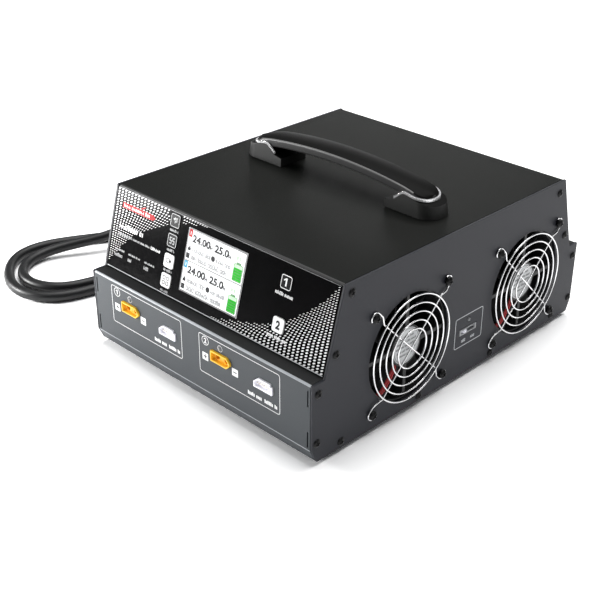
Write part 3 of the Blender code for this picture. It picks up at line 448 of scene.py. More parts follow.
def rectangle(width, height, radius=0.0, centre=(0.0, 0.0), steps=5):
    outline = [(centre[0] + sx * width / 2, centre[1] + sy * height / 2) for sx, sy in SQUARE]
    return rounded(outline, radius, steps) if radius else outline


def circle(radius, sides, centre=(0.0, 0.0)):
    turns = [2 * math.pi * k / sides for k in range(sides)]
    return [(centre[0] + radius * math.cos(a), centre[1] + radius * math.sin(a)) for a in turns]


def round_point(across, degrees, along=None):
    """The point at this turn round a circle, or round an ellipse that is given both half sizes."""
    turn = math.radians(degrees)
    return across * math.cos(turn), (across if along is None else along) * math.sin(turn)


def millimetres(outline):
    return [(x * 1000, y * 1000) for x, y in outline]


def offset_path(points, distance):
    """An open path moved to its left, square to its runs."""
    moved = []
    for i, corner in enumerate(points):
        before = points[max(i - 1, 0)]
        after = points[min(i + 1, len(points) - 1)]
        sides = []
        for a, b in ((before, corner), (corner, after)):
            run = Vector(b) - Vector(a)
            if run.length > 0:
                sides.append(Vector((-run.y, run.x)).normalized())
        middle = sum(sides, Vector((0, 0))).normalized()
        moved.append(tuple(Vector(corner) + middle * (distance / middle.dot(sides[0]))))
    return moved


def inset(ring, distance):
    """A closed outline drawn inwards, or outwards by a negative distance."""
    result = []
    count = len(ring)
    for i, corner in enumerate(ring):
        back = (Vector(corner) - Vector(ring[i - 1])).normalized()
        ahead = (Vector(ring[(i + 1) % count]) - Vector(corner)).normalized()
        inward = Vector((-back.y - ahead.y, back.x + ahead.x)).normalized()
        scale = distance / inward.dot(Vector((-back.y, back.x)))
        result.append(tuple(Vector(corner) + inward * scale))
    return result


PLACE = {
    "X": lambda a, b, c: (c, a, b),
    "Y": lambda a, b, c: (a, c, b),
    "Z": lambda a, b, c: (a, b, c),
}


def prism(outline, low, high, axis="Z"):
    """An outline drawn out along an axis, its two measures being the other axes in order."""
    place = PLACE[axis]
    shape = bmesh.new()
    bottom = [shape.verts.new(place(a, b, low)) for a, b in outline]
    top = [shape.verts.new(place(a, b, high)) for a, b in outline]
    shape.faces.new(bottom)
    shape.faces.new(reversed(top))
    for i in range(len(outline)):
        j = (i + 1) % len(outline)
        shape.faces.new((bottom[i], top[i], top[j], bottom[j]))
    return shape


def block(size, centre=(0, 0, 0)):
    shape = bmesh.new()
    bmesh.ops.create_cube(shape, size=1.0)
    bmesh.ops.scale(shape, vec=size, verts=shape.verts)
    return moved(shape, centre)


def turned(profile, sides, axis="Z", centre=(0, 0, 0)):
    """A lathe shape: the profile's points are (radius, height along the axis)."""
    place = {
        "X": lambda r, a, h: (h, r * math.cos(a), r * math.sin(a)),
        "Y": lambda r, a, h: (r * math.sin(a), h, r * math.cos(a)),
        "Z": lambda r, a, h: (r * math.cos(a), r * math.sin(a), h),
    }[axis]
    shape = bmesh.new()
    loops = []
    for radius, height in profile:
        turns = [0.0] if radius == 0 else [2 * math.pi * k / sides for k in range(sides)]
        loops.append([shape.verts.new(Vector(place(radius, a, height)) + Vector(centre)) for a in turns])
    for low, high in zip(loops, loops[1:]):
        for i in range(sides):
            j = (i + 1) % sides
            corners = [low[i % len(low)], low[j % len(low)], high[j % len(high)], high[i % len(high)]]
            shape.faces.new(dict.fromkeys(corners))
    return shape


def moved(shape, centre):
    bmesh.ops.translate(shape, vec=centre, verts=shape.verts)
    return shape


def loft(sections, closed=False):
    """A skin over rings of points, with caps at both ends or closed on itself."""
    shape = bmesh.new()
    rings = [[shape.verts.new(p) for p in ring] for ring in sections]
    ahead = rings[1:] + rings[:1] if closed else rings[1:]
    for low, high in zip(rings, ahead):
        for i in range(len(low)):
            j = (i + 1) % len(low)
            shape.faces.new((low[i], low[j], high[j], high[i]))
    if not closed:
        shape.faces.new(reversed(rings[0]))
        shape.faces.new(rings[-1])
    return shape


def tube(points, radius, sides, closed=False):
    """A round wire along a path, open with two caps or closed on itself."""
    path = [Vector(p) for p in points]
    count = len(path)
    side = None
    sections = []
    for i, here in enumerate(path):
        if closed:
            run = (path[(i + 1) % count] - path[i - 1]).normalized()
        else:
            run = (path[min(i + 1, count - 1)] - path[max(i - 1, 0)]).normalized()
        side = run.orthogonal() if side is None else side - run * side.dot(run)
        side = side.normalized()
        other = run.cross(side)
        turns = [2 * math.pi * k / sides for k in range(sides)]
        size = radius[i] if isinstance(radius, (list, tuple)) else radius
        sections.append([here + (side * math.cos(a) + other * math.sin(a)) * size for a in turns])
    return loft(sections, closed)


def merged(shapes):
    """One bmesh of several, which are used up."""
    whole = bmesh.new()
    for shape in shapes:
        bmesh.ops.recalc_face_normals(shape, faces=shape.faces)
        part = bpy.data.meshes.new("part")
        shape.to_mesh(part)
        shape.free()
        whole.from_mesh(part)
        bpy.data.meshes.remove(part)
    return whole


def smooth_line(points, per=8):
    """A finer path through the same points."""
    path = [Vector(p) for p in points]
    path = [2 * path[0] - path[1]] + path + [2 * path[-1] - path[-2]]
    fine = []
    for a, b, c, d in zip(path, path[1:], path[2:], path[3:]):
        for k in range(per):
            t = k / per
            bend = (2 * a - 5 * b + 4 * c - d) * t**2 + (3 * b - a - 3 * c + d) * t**3
            fine.append((2 * b + (c - a) * t + bend) / 2)
    fine.append(path[-2])
    return fine


# ---------------------------------------------------------------- printed marks

INK = 0.00003


class Print:
    """Flat marks on a plane: (x, y) in millimetres from an origin of their own."""

    def __init__(self, x=0.0, y=0.0):
        self.origin = (x, y)
        self.faces = []

    def poly(self, outline):
        left, low = self.origin
        self.faces.append([((x + left) / 1000, (y + low) / 1000) for x, y in outline])
        return self

    def rect(self, x0, y0, x1, y1, r=0.0):
        w, h = x1 - x0, y1 - y0
        return self.poly(rectangle(w, h, min(r, w * 0.45, h * 0.45), ((x0 + x1) / 2, (y0 + y1) / 2), 4))

    def disc(self, x, y, r, sides=24):
        return self.poly(circle(r, sides, (x, y)))

    def oval(self, x, y, a, b, tilt=0.0, sides=10):
        c, s = math.cos(tilt), math.sin(tilt)
        ring = [(a * math.cos(t), b * math.sin(t)) for t in (2 * math.pi * k / sides for k in range(sides))]
        return self.poly([(x + p * c - q * s, y + p * s + q * c) for p, q in ring])

    def stroke(self, outline, width, closed=True):
        inner = inset(outline, width) if closed else offset_path(outline, width)
        count = len(outline)
        for i in range(count if closed else count - 1):
            j = (i + 1) % count
            self.poly([outline[i], outline[j], inner[j], inner[i]])
        return self

    def ring(self, x, y, r, width, sides=40):
        return self.stroke(circle(r, sides, (x, y)), width)

    def words(self, x0, x1, y0, y1, seed=1, ratio=0.62, fill=0.78, weight=0.17):
        """A row of small frames, forks and bars with the rhythm of lettering, but no letters."""
        rng = random.Random(seed)
        height = y1 - y0
        line = max(height * weight, 0.26)
        x = x0
        run = rng.randint(3, 7)
        while x < x1 - height * 0.3:
            width = min(height * ratio * rng.uniform(0.85, 1.15), x1 - x) * fill
            top = y1 if rng.random() < 0.35 else y1 - height * 0.2
            kind = rng.random()
            if kind < 0.5 and width > line * 2.6:
                self.rect(x, y0, x + line, top).rect(x + width - line, y0, x + width, top)
                self.rect(x + line, y0, x + width - line, y0 + line)
                self.rect(x + line, top - line, x + width - line, top)
            elif kind < 0.8 and width > line * 2.6:
                middle = (y0 + top) / 2
                self.rect(x, y0, x + line, top)
                self.rect(x + line, middle - line / 2, x + width, middle + line / 2)
                self.rect(x + width - line, y0, x + width, middle - line / 2)
            else:
                self.rect(x, y0, x + line * 1.5, top)
                width = line * 1.5
            x += width + height * ratio * (1 - fill)
            run -= 1
            if run == 0:
                x += height * 0.45
                run = rng.randint(3, 7)
        return self

    def glyphs(self, text, x, y, height, bold=0.0, align="LEFT", wide=1.0):
        """Digits from the built-in typeface."""
        curve = bpy.data.curves.new("glyphs", "FONT")
        curve.body = text
        curve.size = height / 0.69
        curve.align_x = align
        curve.offset = bold
        curve.resolution_u = 4
        holder = bpy.data.objects.new("glyphs", curve)
        mesh = holder.to_mesh()
        for face in mesh.polygons:
            self.poly([(x + wide * mesh.vertices[i].co.x, y + mesh.vertices[i].co.y) for i in face.vertices])
        holder.to_mesh_clear()
        bpy.data.objects.remove(holder)
        bpy.data.curves.remove(curve)
        return self

    def make(self, name, mat, matrix, layer=1, body="case", slot=None):
        """Turns the marks into one mesh of thin solids that are seated in the surface."""
        shape = bmesh.new()
        for outline in self.faces:
            if sum(p[0] * q[1] - q[0] * p[1] for p, q in zip(outline, outline[1:] + outline[:1])) < 0:
                outline = outline[::-1]
            low = [shape.verts.new((x, y, -INK)) for x, y in outline]
            high = [shape.verts.new((x, y, layer * INK)) for x, y in outline]
            shape.faces.new(low[::-1])
            shape.faces.new(high)
            for i in range(len(low)):
                j = (i + 1) % len(low)
                shape.faces.new((low[i], low[j], high[j], high[i]))
        shape.transform(matrix)
        mesh = bpy.data.meshes.new(name)
        shape.to_mesh(mesh)
        shape.free()
        mesh.materials.append(MAT[mat])
        made = bpy.data.objects.new(name, mesh)
        bpy.context.collection.objects.link(made)
        return settle(made, body, ())


# ---------------------------------------------------------------- mains lead

CORD_D = 0.0086
CORD_FLOOR = CORD_D / 2 + 0.0002
GLAND = (-0.040, HALF_D, BASE + 0.031)
GLAND_LENGTH = 0.040
GLAND_RADIUS = 0.0065  # where it passes the wall
ROUTE = (
    (GLAND[0], GLAND[1] + GLAND_LENGTH + 3 * GAP, GLAND[2]),
    (GLAND[0], GLAND[1] + GLAND_LENGTH + 0.015, GLAND[2]),
    (-0.0382, 0.2263, 0.0325),
    (-0.0636, 0.2621, 0.0190),
    (-0.1090, 0.2609, 0.0070),
    (-0.1352, 0.2238, CORD_FLOOR),
    (-0.1363, 0.1809, CORD_FLOOR),
    (-0.1329, 0.1416, CORD_FLOOR),
    (-0.1314, 0.0997, CORD_FLOOR),
    (-0.1308, 0.0592, CORD_FLOOR),
    (-0.1332, 0.0174, CORD_FLOOR),
    (-0.1444, -0.0188, CORD_FLOOR),
    (-0.1691, -0.0588, CORD_FLOOR),
    (-0.1726, -0.0925, CORD_FLOOR),
    (-0.1818, -0.1365, CORD_FLOOR),
    (-0.2223, -0.1498, CORD_FLOOR),
    (-0.2670, -0.1212, CORD_FLOOR),
    (-0.2756, -0.0862, CORD_FLOOR),
    (-0.2530, -0.0445, CORD_FLOOR),
    (-0.2344, -0.0105, CORD_FLOOR),
    (-0.2123, 0.0237, CORD_FLOOR),
    (-0.1890, 0.0569, CORD_FLOOR),
    (-0.1787, 0.1016, CORD_FLOOR),
    (-0.2052, 0.1419, CORD_FLOOR),
    (-0.2514, 0.1389, CORD_FLOOR),
    (-0.2713, 0.0984, CORD_FLOOR),
    (-0.2557, 0.0570, 0.0050),
    (-0.2373, 0.0213, 0.0135),
    (-0.2274, -0.0196, 0.0185),
    (-0.2305, -0.0454, 0.0125),
    (-0.2653, -0.0955, 0.0052),
    (-0.2366, -0.1360, CORD_FLOOR),
    (-0.1882, -0.1250, CORD_FLOOR),
    (-0.1819, -0.0638, CORD_FLOOR),
    (-0.1812, -0.0405, CORD_FLOOR),
    (-0.1655, 0.0022, CORD_FLOOR),
    (-0.1531, 0.0379, 0.0065),
    (-0.1491, 0.0798, 0.0110),
    (-0.1539, 0.1064, 0.0122),
    (-0.1580, 0.1193, 0.0122),
)
PLUG_SIZE = (0.027, 0.0235)
PLUG_LENGTH = 0.052
PLUG_SHAPE = (  # stations along the plug, with the share of its full size at each
    (0.0, 0.31), (0.0015, 0.34), (0.0028, 0.30), (0.0045, 0.36), (0.0058, 0.32), (0.0075, 0.38),
    (0.0088, 0.34), (0.0105, 0.40), (0.0120, 0.41), (0.0150, 0.58), (0.0180, 0.78), (0.0210, 0.885),
    (0.0240, 0.94), (0.0320, 0.975), (0.0400, 1.0), (0.0500, 0.995),
    (PLUG_LENGTH - 0.0006, 0.98), (PLUG_LENGTH, 0.95),
)
PIN_LENGTH = 0.018
PIN_APART = 0.0127


def spline(route, spacing):
    """Points at an even spacing along the cubic B-spline of the route's control points."""
    control = [Vector(p) for p in route]
    control = [2 * control[0] - control[1]] + control + [2 * control[-1] - control[-2]]
    fine = []
    for a, b, c, d in zip(control, control[1:], control[2:], control[3:]):
        for k in range(24):
            t = k / 24
            near = (1 - t) ** 3 * a + (3 * t**3 - 6 * t**2 + 4) * b
            far = (3 * t**2 + 3 * t - 3 * t**3 + 1) * c + t**3 * d
            fine.append((near + far) / 6)
    fine.append(control[-2])
    lengths = [0.0]
    for a, b in zip(fine, fine[1:]):
        lengths.append(lengths[-1] + (b - a).length)
    count = round(lengths[-1] / spacing)
    points = []
    i = 0
    for k in range(count + 1):
        want = lengths[-1] * k / count
        while i < len(fine) - 2 and lengths[i + 1] < want:
            i += 1
        share = (want - lengths[i]) / (lengths[i + 1] - lengths[i])
        points.append(fine[i].lerp(fine[i + 1], min(share, 1.0)))
    return points, lengths[-1]


def mains_lead():
    points, length = spline(ROUTE, 0.004)
    coarse = spline(ROUTE, 0.021)[0]
    curve = bpy.data.curves.new("lead", "CURVE")
    curve.dimensions = "3D"
    curve.bevel_depth = CORD_D / 2
    curve.bevel_resolution = 5
    curve.use_fill_caps = True
    line = curve.splines.new("POLY")
    line.points.add(len(points) - 1)
    for slot, point in zip(line.points, points):
        slot.co = (*point, 1.0)
    line.use_smooth = True
    curve.materials.append(MAT["cord"])
    lead = bpy.data.objects.new("lead", curve)
    bpy.context.collection.objects.link(lead)
    settle(lead, "case", ("power_cord",))
    plug = mains_plug(coarse)
    gland = strain_relief()


def mains_plug(points):
    """A moulded earthed plug in line with the lead's end, looking along its own Y."""
    run = points[-1] - points[-2]
    heading = math.atan2(run.y, run.x) - math.pi / 2
    at = points[-1] + run.normalized() * GAP
    place = Matrix.Translation(at) @ Matrix.Rotation(heading, 4, "Z")
    width, height = PLUG_SIZE[0] / 2, PLUG_SIZE[1] / 2
    sections = []
    for y, share in PLUG_SHAPE:
        outline = rectangle(2 * width * share, 2 * height * share, 0.0075 * share, steps=7)
        sections.append([(x, y, z) for x, z in outline])
    body = add(
        "plug_body", loft(sections), "cord", nodes=("power_plug",), sharp=50,
        matrix=place,
    )
    ribs = []
    for side in (-1, 1):
        for k in range(6):
            y = 0.027 + 0.0032 * k
            ribs.append(block((0.0012, 0.0014, 0.013), (side * (width * 0.985), y, 0)))
    sides = add("plug_ribs", merged(ribs), "cord", matrix=place, bevel=0.0004)
    pins = []
    low, high = PLUG_LENGTH - 0.001, PLUG_LENGTH + PIN_LENGTH
    edge = [(0, -0.00315), (0.0165, -0.00315), (PIN_LENGTH, -0.0022)]
    edge += [(y, -z) for y, z in reversed(edge)]
    outline = [(low + y, z - 0.002) for y, z in edge]
    for x in (-PIN_APART / 2, PIN_APART / 2):
        pins.append(prism(outline, x - 0.00075, x + 0.00075, "X"))
    tip = [(0.0024, high - 0.0014), (0.0019, high - 0.0004), (0.001, high), (0, high)]
    pins.append(moved(turned([(0, low), (0.0024, low), *tip], 24, "Y"), (0, 0, 0.0065)))
    blades = add("plug_blades", merged(pins), "brass_blade", matrix=place, bevel=0.0002)
    return [body, sides, blades]


def strain_relief():
    place = Matrix.Translation(GLAND)
    nut = [(0.0105 if k % 2 == 0 else 0.0102) for k in range(12)]
    ring = [(r * math.cos(math.pi * k / 6), r * math.sin(math.pi * k / 6)) for k, r in enumerate(nut)]
    shapes = [prism(ring, GAP, 0.0056, "Y")]
    profile = [(0, -0.010), (GLAND_RADIUS, -0.010), (GLAND_RADIUS, 0.005), (0.0088, 0.0056)]
    profile += [(0.0086, 0.0070), (0.0080, 0.0082)]
    y = 0.0090
    for k in range(9):
        r = 0.0078 - 0.00017 * k
        profile += [(r, y), (r, y + 0.0019), (r - 0.0011, y + 0.0021), (r - 0.0011, y + 0.0031)]
        y += 0.0033
    profile += [(0.0061, y), (0.0060, GLAND_LENGTH - 0.0005), (0.0055, GLAND_LENGTH), (0, GLAND_LENGTH)]
    shapes.append(turned(profile, 40, "Y"))
    return add(
        "strain_relief", merged(shapes), "plastic", nodes=("cable_gland",), sharp=30,
        matrix=place, bevel=0.0003,
    )


mains_lead()

# ---------------------------------------------------------------- case


def mirrored(path):
    return path + [(-y, z) for y, z in reversed(path)]


def sheet_strip(path):
    outer = rounded(path, 0.0018, 6, closed=False)
    inner = rounded(offset_path(path, SHEET), 0.0006, 6, closed=False)
    return outer + inner[::-1]


def side_outline():
    front = [
        (-HALF_D + SETBACK, LID),
        (-HALF_D + STEP, WALL_TOP),
        (-HALF_D, WALL_TOP),
        (-HALF_D, BASE + CHAMFER[1]),
        (-HALF_D + CHAMFER[0], BASE),
    ]
    return rounded(mirrored(front), 0.0010, 4)


def output_outline():
    w, h, c = 0.0092, 0.0039, 0.0028
    return [(-w, -h), (w - c, -h), (w, -h + c), (w, h - c), (w - c, h), (-w, h)]


def balance_outline():
    w, h = 0.0084, 0.0038
    notch = [(w, 0.0020), (w - 0.0018, 0.0020), (w - 0.0018, h)]
    return [(-w, -h), (w, -h), *notch, (-0.0042, h), (-w, 0.0004)]


def channel_places(x):
    """Where a channel's output socket, balance socket and light sit on the front wall."""
    z = BASE + OUTPUT_Z
    return (x, -HALF_D, z), (x + 0.0398, -HALF_D, z - 0.0018), (x - 0.0008, -HALF_D, z + 0.0078)


def folded(name, path, mat):
    """A sheet bent along this path in y and z, and as wide as the space between the side plates."""
    strip = prism(sheet_strip(path), -STRIP_W, STRIP_W, "X")
    return add(name, strip, mat, sharp=30, bevel=0.0002, ride=False)


def tray_openings():
    """Through both end walls: sockets, lights, seam slots, the switch and the lead's gland."""
    cuts = []
    for x in CHANNEL_X:
        output, balance, light = channel_places(x)
        cuts.append(moved(prism(inset(output_outline(), -GAP), -0.006, 0.006, "Y"), output))
        cuts.append(moved(prism(inset(balance_outline(), -GAP), -0.006, 0.006, "Y"), balance))
        cuts.append(moved(prism(circle(LENS_RADIUS + GAP, 28), -0.006, 0.006, "Y"), light))
    for side in (-1, 1):
        for height in SEAM_HEIGHTS:
            for wall in (-HALF_D, HALF_D):
                cuts.append(block(SEAM_SLOT, (side * (STRIP_W - 0.0021), wall, BASE + height)))
    opening = rectangle(*[size + 2 * GAP for size in SWITCH_BODY])
    cuts.append(moved(prism(opening, -0.006, 0.006, "Y"), SWITCH))
    cuts.append(moved(prism(circle(GLAND_RADIUS + GAP, 32), -0.006, 0.006, "Y"), GLAND))
    return cuts


def tray():
    flange = (-HALF_D + STEP + 0.008, WALL_TOP)
    wall = [(-HALF_D, WALL_TOP), (-HALF_D, BASE + CHAMFER[1]), (-HALF_D + CHAMFER[0], BASE)]
    made = folded("tray", mirrored([flange, *wall]), "paint_tray")
    carve(made, tray_openings())
    shade_ledge_light_bends(made, "paint_ledge_shade", "paint_bend_highlight", WALL_TOP)
    done(made, nodes=("base_tray",))


def board_posts():
    post = [(0, 0.001), (0.003, 0.001), (0.003, 0.0072), (0, 0.0072)]
    posts = [moved(turned(post, 24), (x, y, BASE)) for x in POST_X for y in POST_Y]
    add("board_posts", merged(posts), "paint_tray", bevel=0.0003)


def shade_ledge_light_bends(made, flat, bend, top):
    """Gives the level face a darker copy of the paint as painted shade, and the bent edges a lighter one as
    a painted highlight.
    """
    made.data.materials.append(MAT[flat])
    made.data.materials.append(MAT[bend])
    for face in made.data.polygons:
        up, z = face.normal.z, face.center.z
        if up > 0.96 and z > top - 0.002:
            face.material_index = 1
        elif (0.12 < up <= 0.96 and z > top - 0.0019) or (-0.40 < up < -0.03 and z < BASE + 0.013):
            face.material_index = 2


def cover():
    slope = math.tan(LEAN)
    recess = 0.0008 / math.cos(LEAN)
    rise = GAP + SHEET * math.sin(LEAN)
    low = (-HALF_D + STEP + recess + rise * slope, WALL_TOP + rise)
    path = mirrored([low, (-HALF_D + SETBACK + recess, LID)])
    made = folded("cover", path[::-1], "paint")
    carve(made, panel_openings())
    # painted highlight: the lid's bent front edge takes a lighter copy of the paint
    made.data.materials.append(MAT["paint_lid_bend_highlight"])
    for face in made.data.polygons:
        if 0.30 < face.normal.z < 0.98 and face.center.z > LID - 0.0019:
            face.material_index = 1
    done(made, nodes=("top_cover",))


def panel_openings():
    cuts = [prism(rectangle(DISPLAY[2] + 2 * GAP, DISPLAY[3] + 2 * GAP, 0, DISPLAY[:2]), -0.008, 0.008)]
    for centre in KEYS.values():
        cuts.append(prism(rectangle(KEY_SIZE + 2 * GAP, KEY_SIZE + 2 * GAP, 0.0024, centre), -0.008, 0.008))
    for shape in cuts:
        shape.transform(PANEL)
    return cuts


def right_plate():
    shape = prism(side_outline(), HALF_W - PLATE, HALF_W, "X")
    plate = add("right_plate", shape, "paint_side", sharp=30, bevel=0.0003, ride=False)
    reach = (HALF_W - 0.01, HALF_W + 0.01)
    cuts = []
    for y in FAN_Y.values():
        cuts.append(prism(circle(FAN_HOLE, 128, (y, FAN_Z)), *reach, "X"))
        cuts += [prism(circle(SCREW_HOLE, 24, corner), *reach, "X") for corner in fan_corners(y)]
    cuts.append(prism(rectangle(0.0190, 0.0050, 0, SELECTOR), *reach, "X"))
    cuts.append(prism(circle(LENS_RADIUS + GAP, 28, SIDE_LIGHT), *reach, "X"))
    carve(plate, cuts)
    done(plate, nodes=("side_panel_right",))


def left_plate():
    """The plate with two banks of slots, each slot under a small pressed hood."""
    wall = -HALF_W
    shape = prism(side_outline(), wall, wall + PLATE, "X")
    plate = add("left_plate", shape, "paint_side", sharp=40, bevel=0.00025, ride=False)
    slots, hoods = [], []
    for bank in FAN_Y.values():
        for k in range(8):
            y = bank + (k - 3.5) * 0.0085
            slot = rectangle(0.0034, 0.034, 0.0016, (y, FAN_Z), 6)
            slots.append(prism(slot, wall - 0.01, wall + 0.01, "X"))
            edge = y - 0.0017
            swell = [round_point(0.0015, a, 0.0040) for a in range(0, 91, 15)]
            hood = [(wall + 0.0008, edge)] + [(wall - out, edge - back) for out, back in swell]
            hood.append((wall + 0.0008, edge - 0.0040))
            hoods.append(prism(hood, FAN_Z - 0.017, FAN_Z + 0.017))
    carve(plate, slots)
    carve(plate, hoods, "UNION")
    done(plate, nodes=("side_panel_left",))


def countersunk(radius, proud):
    """A small domed screw head, looking along its own Z; its cross recess is cut afterwards by cross_screw.
    """
    profile = [(0, -0.0012), (radius * 0.8, -0.0012), (radius, 0.0)]
    profile += [round_point(radius, a, proud) for a in range(15, 90, 15)] + [(0, proud)]
    return turned(profile, 28)


def cross_screw(name, place, radius, proud, turn, arm=None, nodes=()):
    """A head with a cross recess; an arm is its length, width and depth."""
    head = add(name, countersunk(radius, proud), "screw", sharp=40, ride=False)
    long, wide, deep = arm or (radius * 1.05, radius * 0.26, proud * 1.6)
    carve(head, [block((long, wide, deep), (0, 0, proud))])
    carve(head, [block((wide, long, deep), (0, 0, proud))])
    head.data.transform(place @ Matrix.Rotation(turn, 4, "Z"))
    done(head, nodes=nodes)


SIDE_SCREWS = (  # from the plate's front lower corner
    (0.033, 0.109), (0.020, 0.0715), (0.005, 0.050), (0.004, 0.0145), (0.026, 0.005), (0.103, 0.004),
    (0.183, 0.004), (0.260, 0.005), (0.282, 0.012), (0.281, 0.048), (0.266, 0.070), (0.253, 0.107),
)


def side_screws():
    rng = random.Random(4)
    for side, name in ((1, "right"), (-1, "left")):
        face = Matrix.Translation((side * HALF_W, 0, 0)) @ Matrix.Rotation(side * math.pi / 2, 4, "Y")
        for k, (y, z) in enumerate(SIDE_SCREWS, 1):
            place = Matrix.Translation((0, y - HALF_D, z + BASE)) @ face
            cross_screw(f"side_screw_{name}_{k}", place, 0.0030, 0.0014, rng.uniform(0, 1.5))


def tray_screws():
    down = Matrix.Rotation(math.pi, 4, "X")
    for k, (x, y) in enumerate(((x, y) for y in POST_Y for x in POST_X), 1):
        cross_screw(f"board_screw_{k}", Matrix.Translation((x, y, BASE)) @ down, 0.0026, 0.0008, 0.3 * k)


def rubber_feet():
    profile = [(0, 0.0012), (0.0022, 0.0012), (0.0026, 0.0), (0.0058, 0.0), (0.0066, 0.0003)]
    profile += [(0.0070, 0.0010), (0.0070, BASE - GAP - 0.0002), (0.0068, BASE - GAP), (0, BASE - GAP)]
    for side, x in (("left", -0.094), ("right", 0.094)):
        for end, y in (("front", -0.122), ("rear", 0.122)):
            add(
                f"foot_{end}_{side}", turned(profile, 40, centre=(x, y, 0)), "rubber",
                nodes=(f"rubber_foot_{end}_{side}",), sharp=50,
            )


# ---------------------------------------------------------------- control panel


def panel_film():
    outline = rectangle(0.215, 0.0586, 0, (0, 0.0305))
    film = add("film", prism(outline, -0.0005, 0), "film", sharp=30, matrix=PANEL, bevel=0.00012, ride=False)
    carve(film, panel_openings())
    done(film, nodes=("panel_film",))


def display():
    at = PANEL @ Matrix.Translation((0, 0, -0.0001))
    outline = rectangle(DISPLAY[2], DISPLAY[3], 0, DISPLAY[:2])
    add(
        "display", prism(outline, -0.0059, 0), "screen", nodes=("display_module",),
        matrix=at, bevel=0.0001,
    )
    reach = DISPLAY[2] * 500 - 0.6
    bezel = Print(DISPLAY[0] * 1000, DISPLAY[1] * 1000)
    bezel.stroke(millimetres(rectangle(DISPLAY[2], DISPLAY[3], 0.0012, steps=4)), 1.0)
    bezel.rect(-reach, -0.4, reach, 0.35)
    bezel.make("display_frame", "bezel", at, slot="display_glass")
    display_rows(at)


def display_rows(at):
    """Two equal blocks of readings, one for each channel, with a coloured tag at the left."""
    dark, grey, red, blue, green, pale, leaf = layers = [Print() for _ in range(7)]
    for k, drop in enumerate((0.0, DISPLAY_DROP)):
        for layer in layers:
            layer.origin = (0.0, -drop)
        tag = blue if k else red
        tag.rect(-28.4, 47.6, -25.2, 52.6 if k else 52.9, 0.7)
        for x, text in ((-24.4, "24.00"), (-2.4, "25.0")):
            dark.glyphs(text, x, 45.1, 4.7, 0.26, wide=1.16)
        for x in (-6.7, 11.3):
            dark.rect(x, 44.9, x + 0.6, 47.5).rect(x + 1.6, 44.9, x + 2.2, 47.5)
            dark.rect(x + 0.6, 45.8, x + 1.6, 46.4)
        grey.words(-23.0, -4.6, 38.4, 41.5, 11 + k, 0.62, 0.86)
        dark.disc(-2.4, 40.0, 1.9)
        grey.words(0.4, 14.6, 38.4, 41.2, 13 + k, 0.60, 0.86)
        grey.words(-23.0, 12.4, 33.0, 36.3, 15 + k, 0.60, 0.86)
        dark.rect(-27.6, 38.4, -24.7, 40.4, 0.2).rect(-26.4, 40.4, -25.2, 41.6, 0.2)
        dark.rect(-28.2, 33.0, -24.8, 36.6, 0.4)
        leaf.rect(17.9, 33.1, 25.3, 41.4)
        for row in range(5):
            green.rect(17.9, 33.1 + 1.70 * row, 25.3, 34.35 + 1.70 * row, 0.3)
        cell = millimetres(rectangle(0.0086, 0.0116, 0.0012, (0.0216, 0.0383), 4))
        pale.poly(cell)
        leaf.stroke(cell, 0.45)
        leaf.rect(19.5, 44.1, 23.7, 45.2, 0.3)
        pale.rect(18.6, 46.6, 20.6, 49.0, 0.3).rect(21.2, 46.6, 22.9, 49.0, 0.3)
    tags = Print()
    for x, y in ((-26.8, 50.2), (-26.8, 28.8)):
        tags.rect(x - 0.32, y - 1.2, x + 0.32, y + 1.2, 0.1)
    for marks, name, ink, layer in (
        (dark, "digits", "ink_dark", 2),
        (grey, "rows", "ink_screen", 2),
        (red, "tag_red", "ink_red", 2),
        (blue, "tag_blue", "ink_cyan", 2),
        (green, "charge", "ink_green", 3),
        (pale, "mark", "ink_leaf", 1),
        (leaf, "cells", "ink_leaf_dark", 2),
        (tags, "tag_marks", "ink_white", 3),
    ):
        marks.make(f"display_{name}", ink, at, layer, slot="display_glass")


def edge_at(y, knots):
    """Where the field's curved edge lies at this height."""
    for (x0, y0), (x1, y1) in zip(knots, knots[1:]):
        if y0 <= y <= y1:
            return x0 + (x1 - x0) * (y - y0) / (y1 - y0)
    return knots[0][0] if y < knots[0][1] else knots[-1][0]


RIGHT_EDGE = (
    (0, 1.2), (15, 5.0), (33, 9.5), (55, 16.0), (75, 27.0), (90, 39.5), (100, 50.0), (107, 60.0),
)
LEFT_EDGE = (
    (-108, 2.0), (-101, 12.0), (-93, 21.0), (-80, 33.5), (-62, 42.5), (-46, 50.0), (-30, 55.0), (-6, 60.0),
)


def halftone():
    """Fields of slanted oval dots that crowd and shrink towards a curved edge."""
    dots = Print()
    blocked = millimetres(KEYS.values())
    for knots, side in ((RIGHT_EDGE, 1), (LEFT_EDGE, -1)):
        y = 2.6 if side > 0 else 58.6
        while 2.0 < y < 59.2:
            edge = edge_at(y, knots)
            x = 106.0 * side
            room = min(abs(60 - y) if side > 0 else abs(y - 1), 60) / 60
            while (x - edge) * side > 0:
                depth = min(abs(x - edge) / 42, 1.0)
                long, short = 0.84 + 0.36 * depth, 0.20 + 0.34 * depth**0.7
                clear = all(abs(x - kx) > 6.2 or abs(y - ky) > 6.2 for kx, ky in blocked)
                if clear:
                    dots.oval(x, y, long, short, math.radians(24), 8)
                x -= side * (2.1 + 1.5 * depth)
            y += side * (1.55 + 0.50 * room)
    return dots


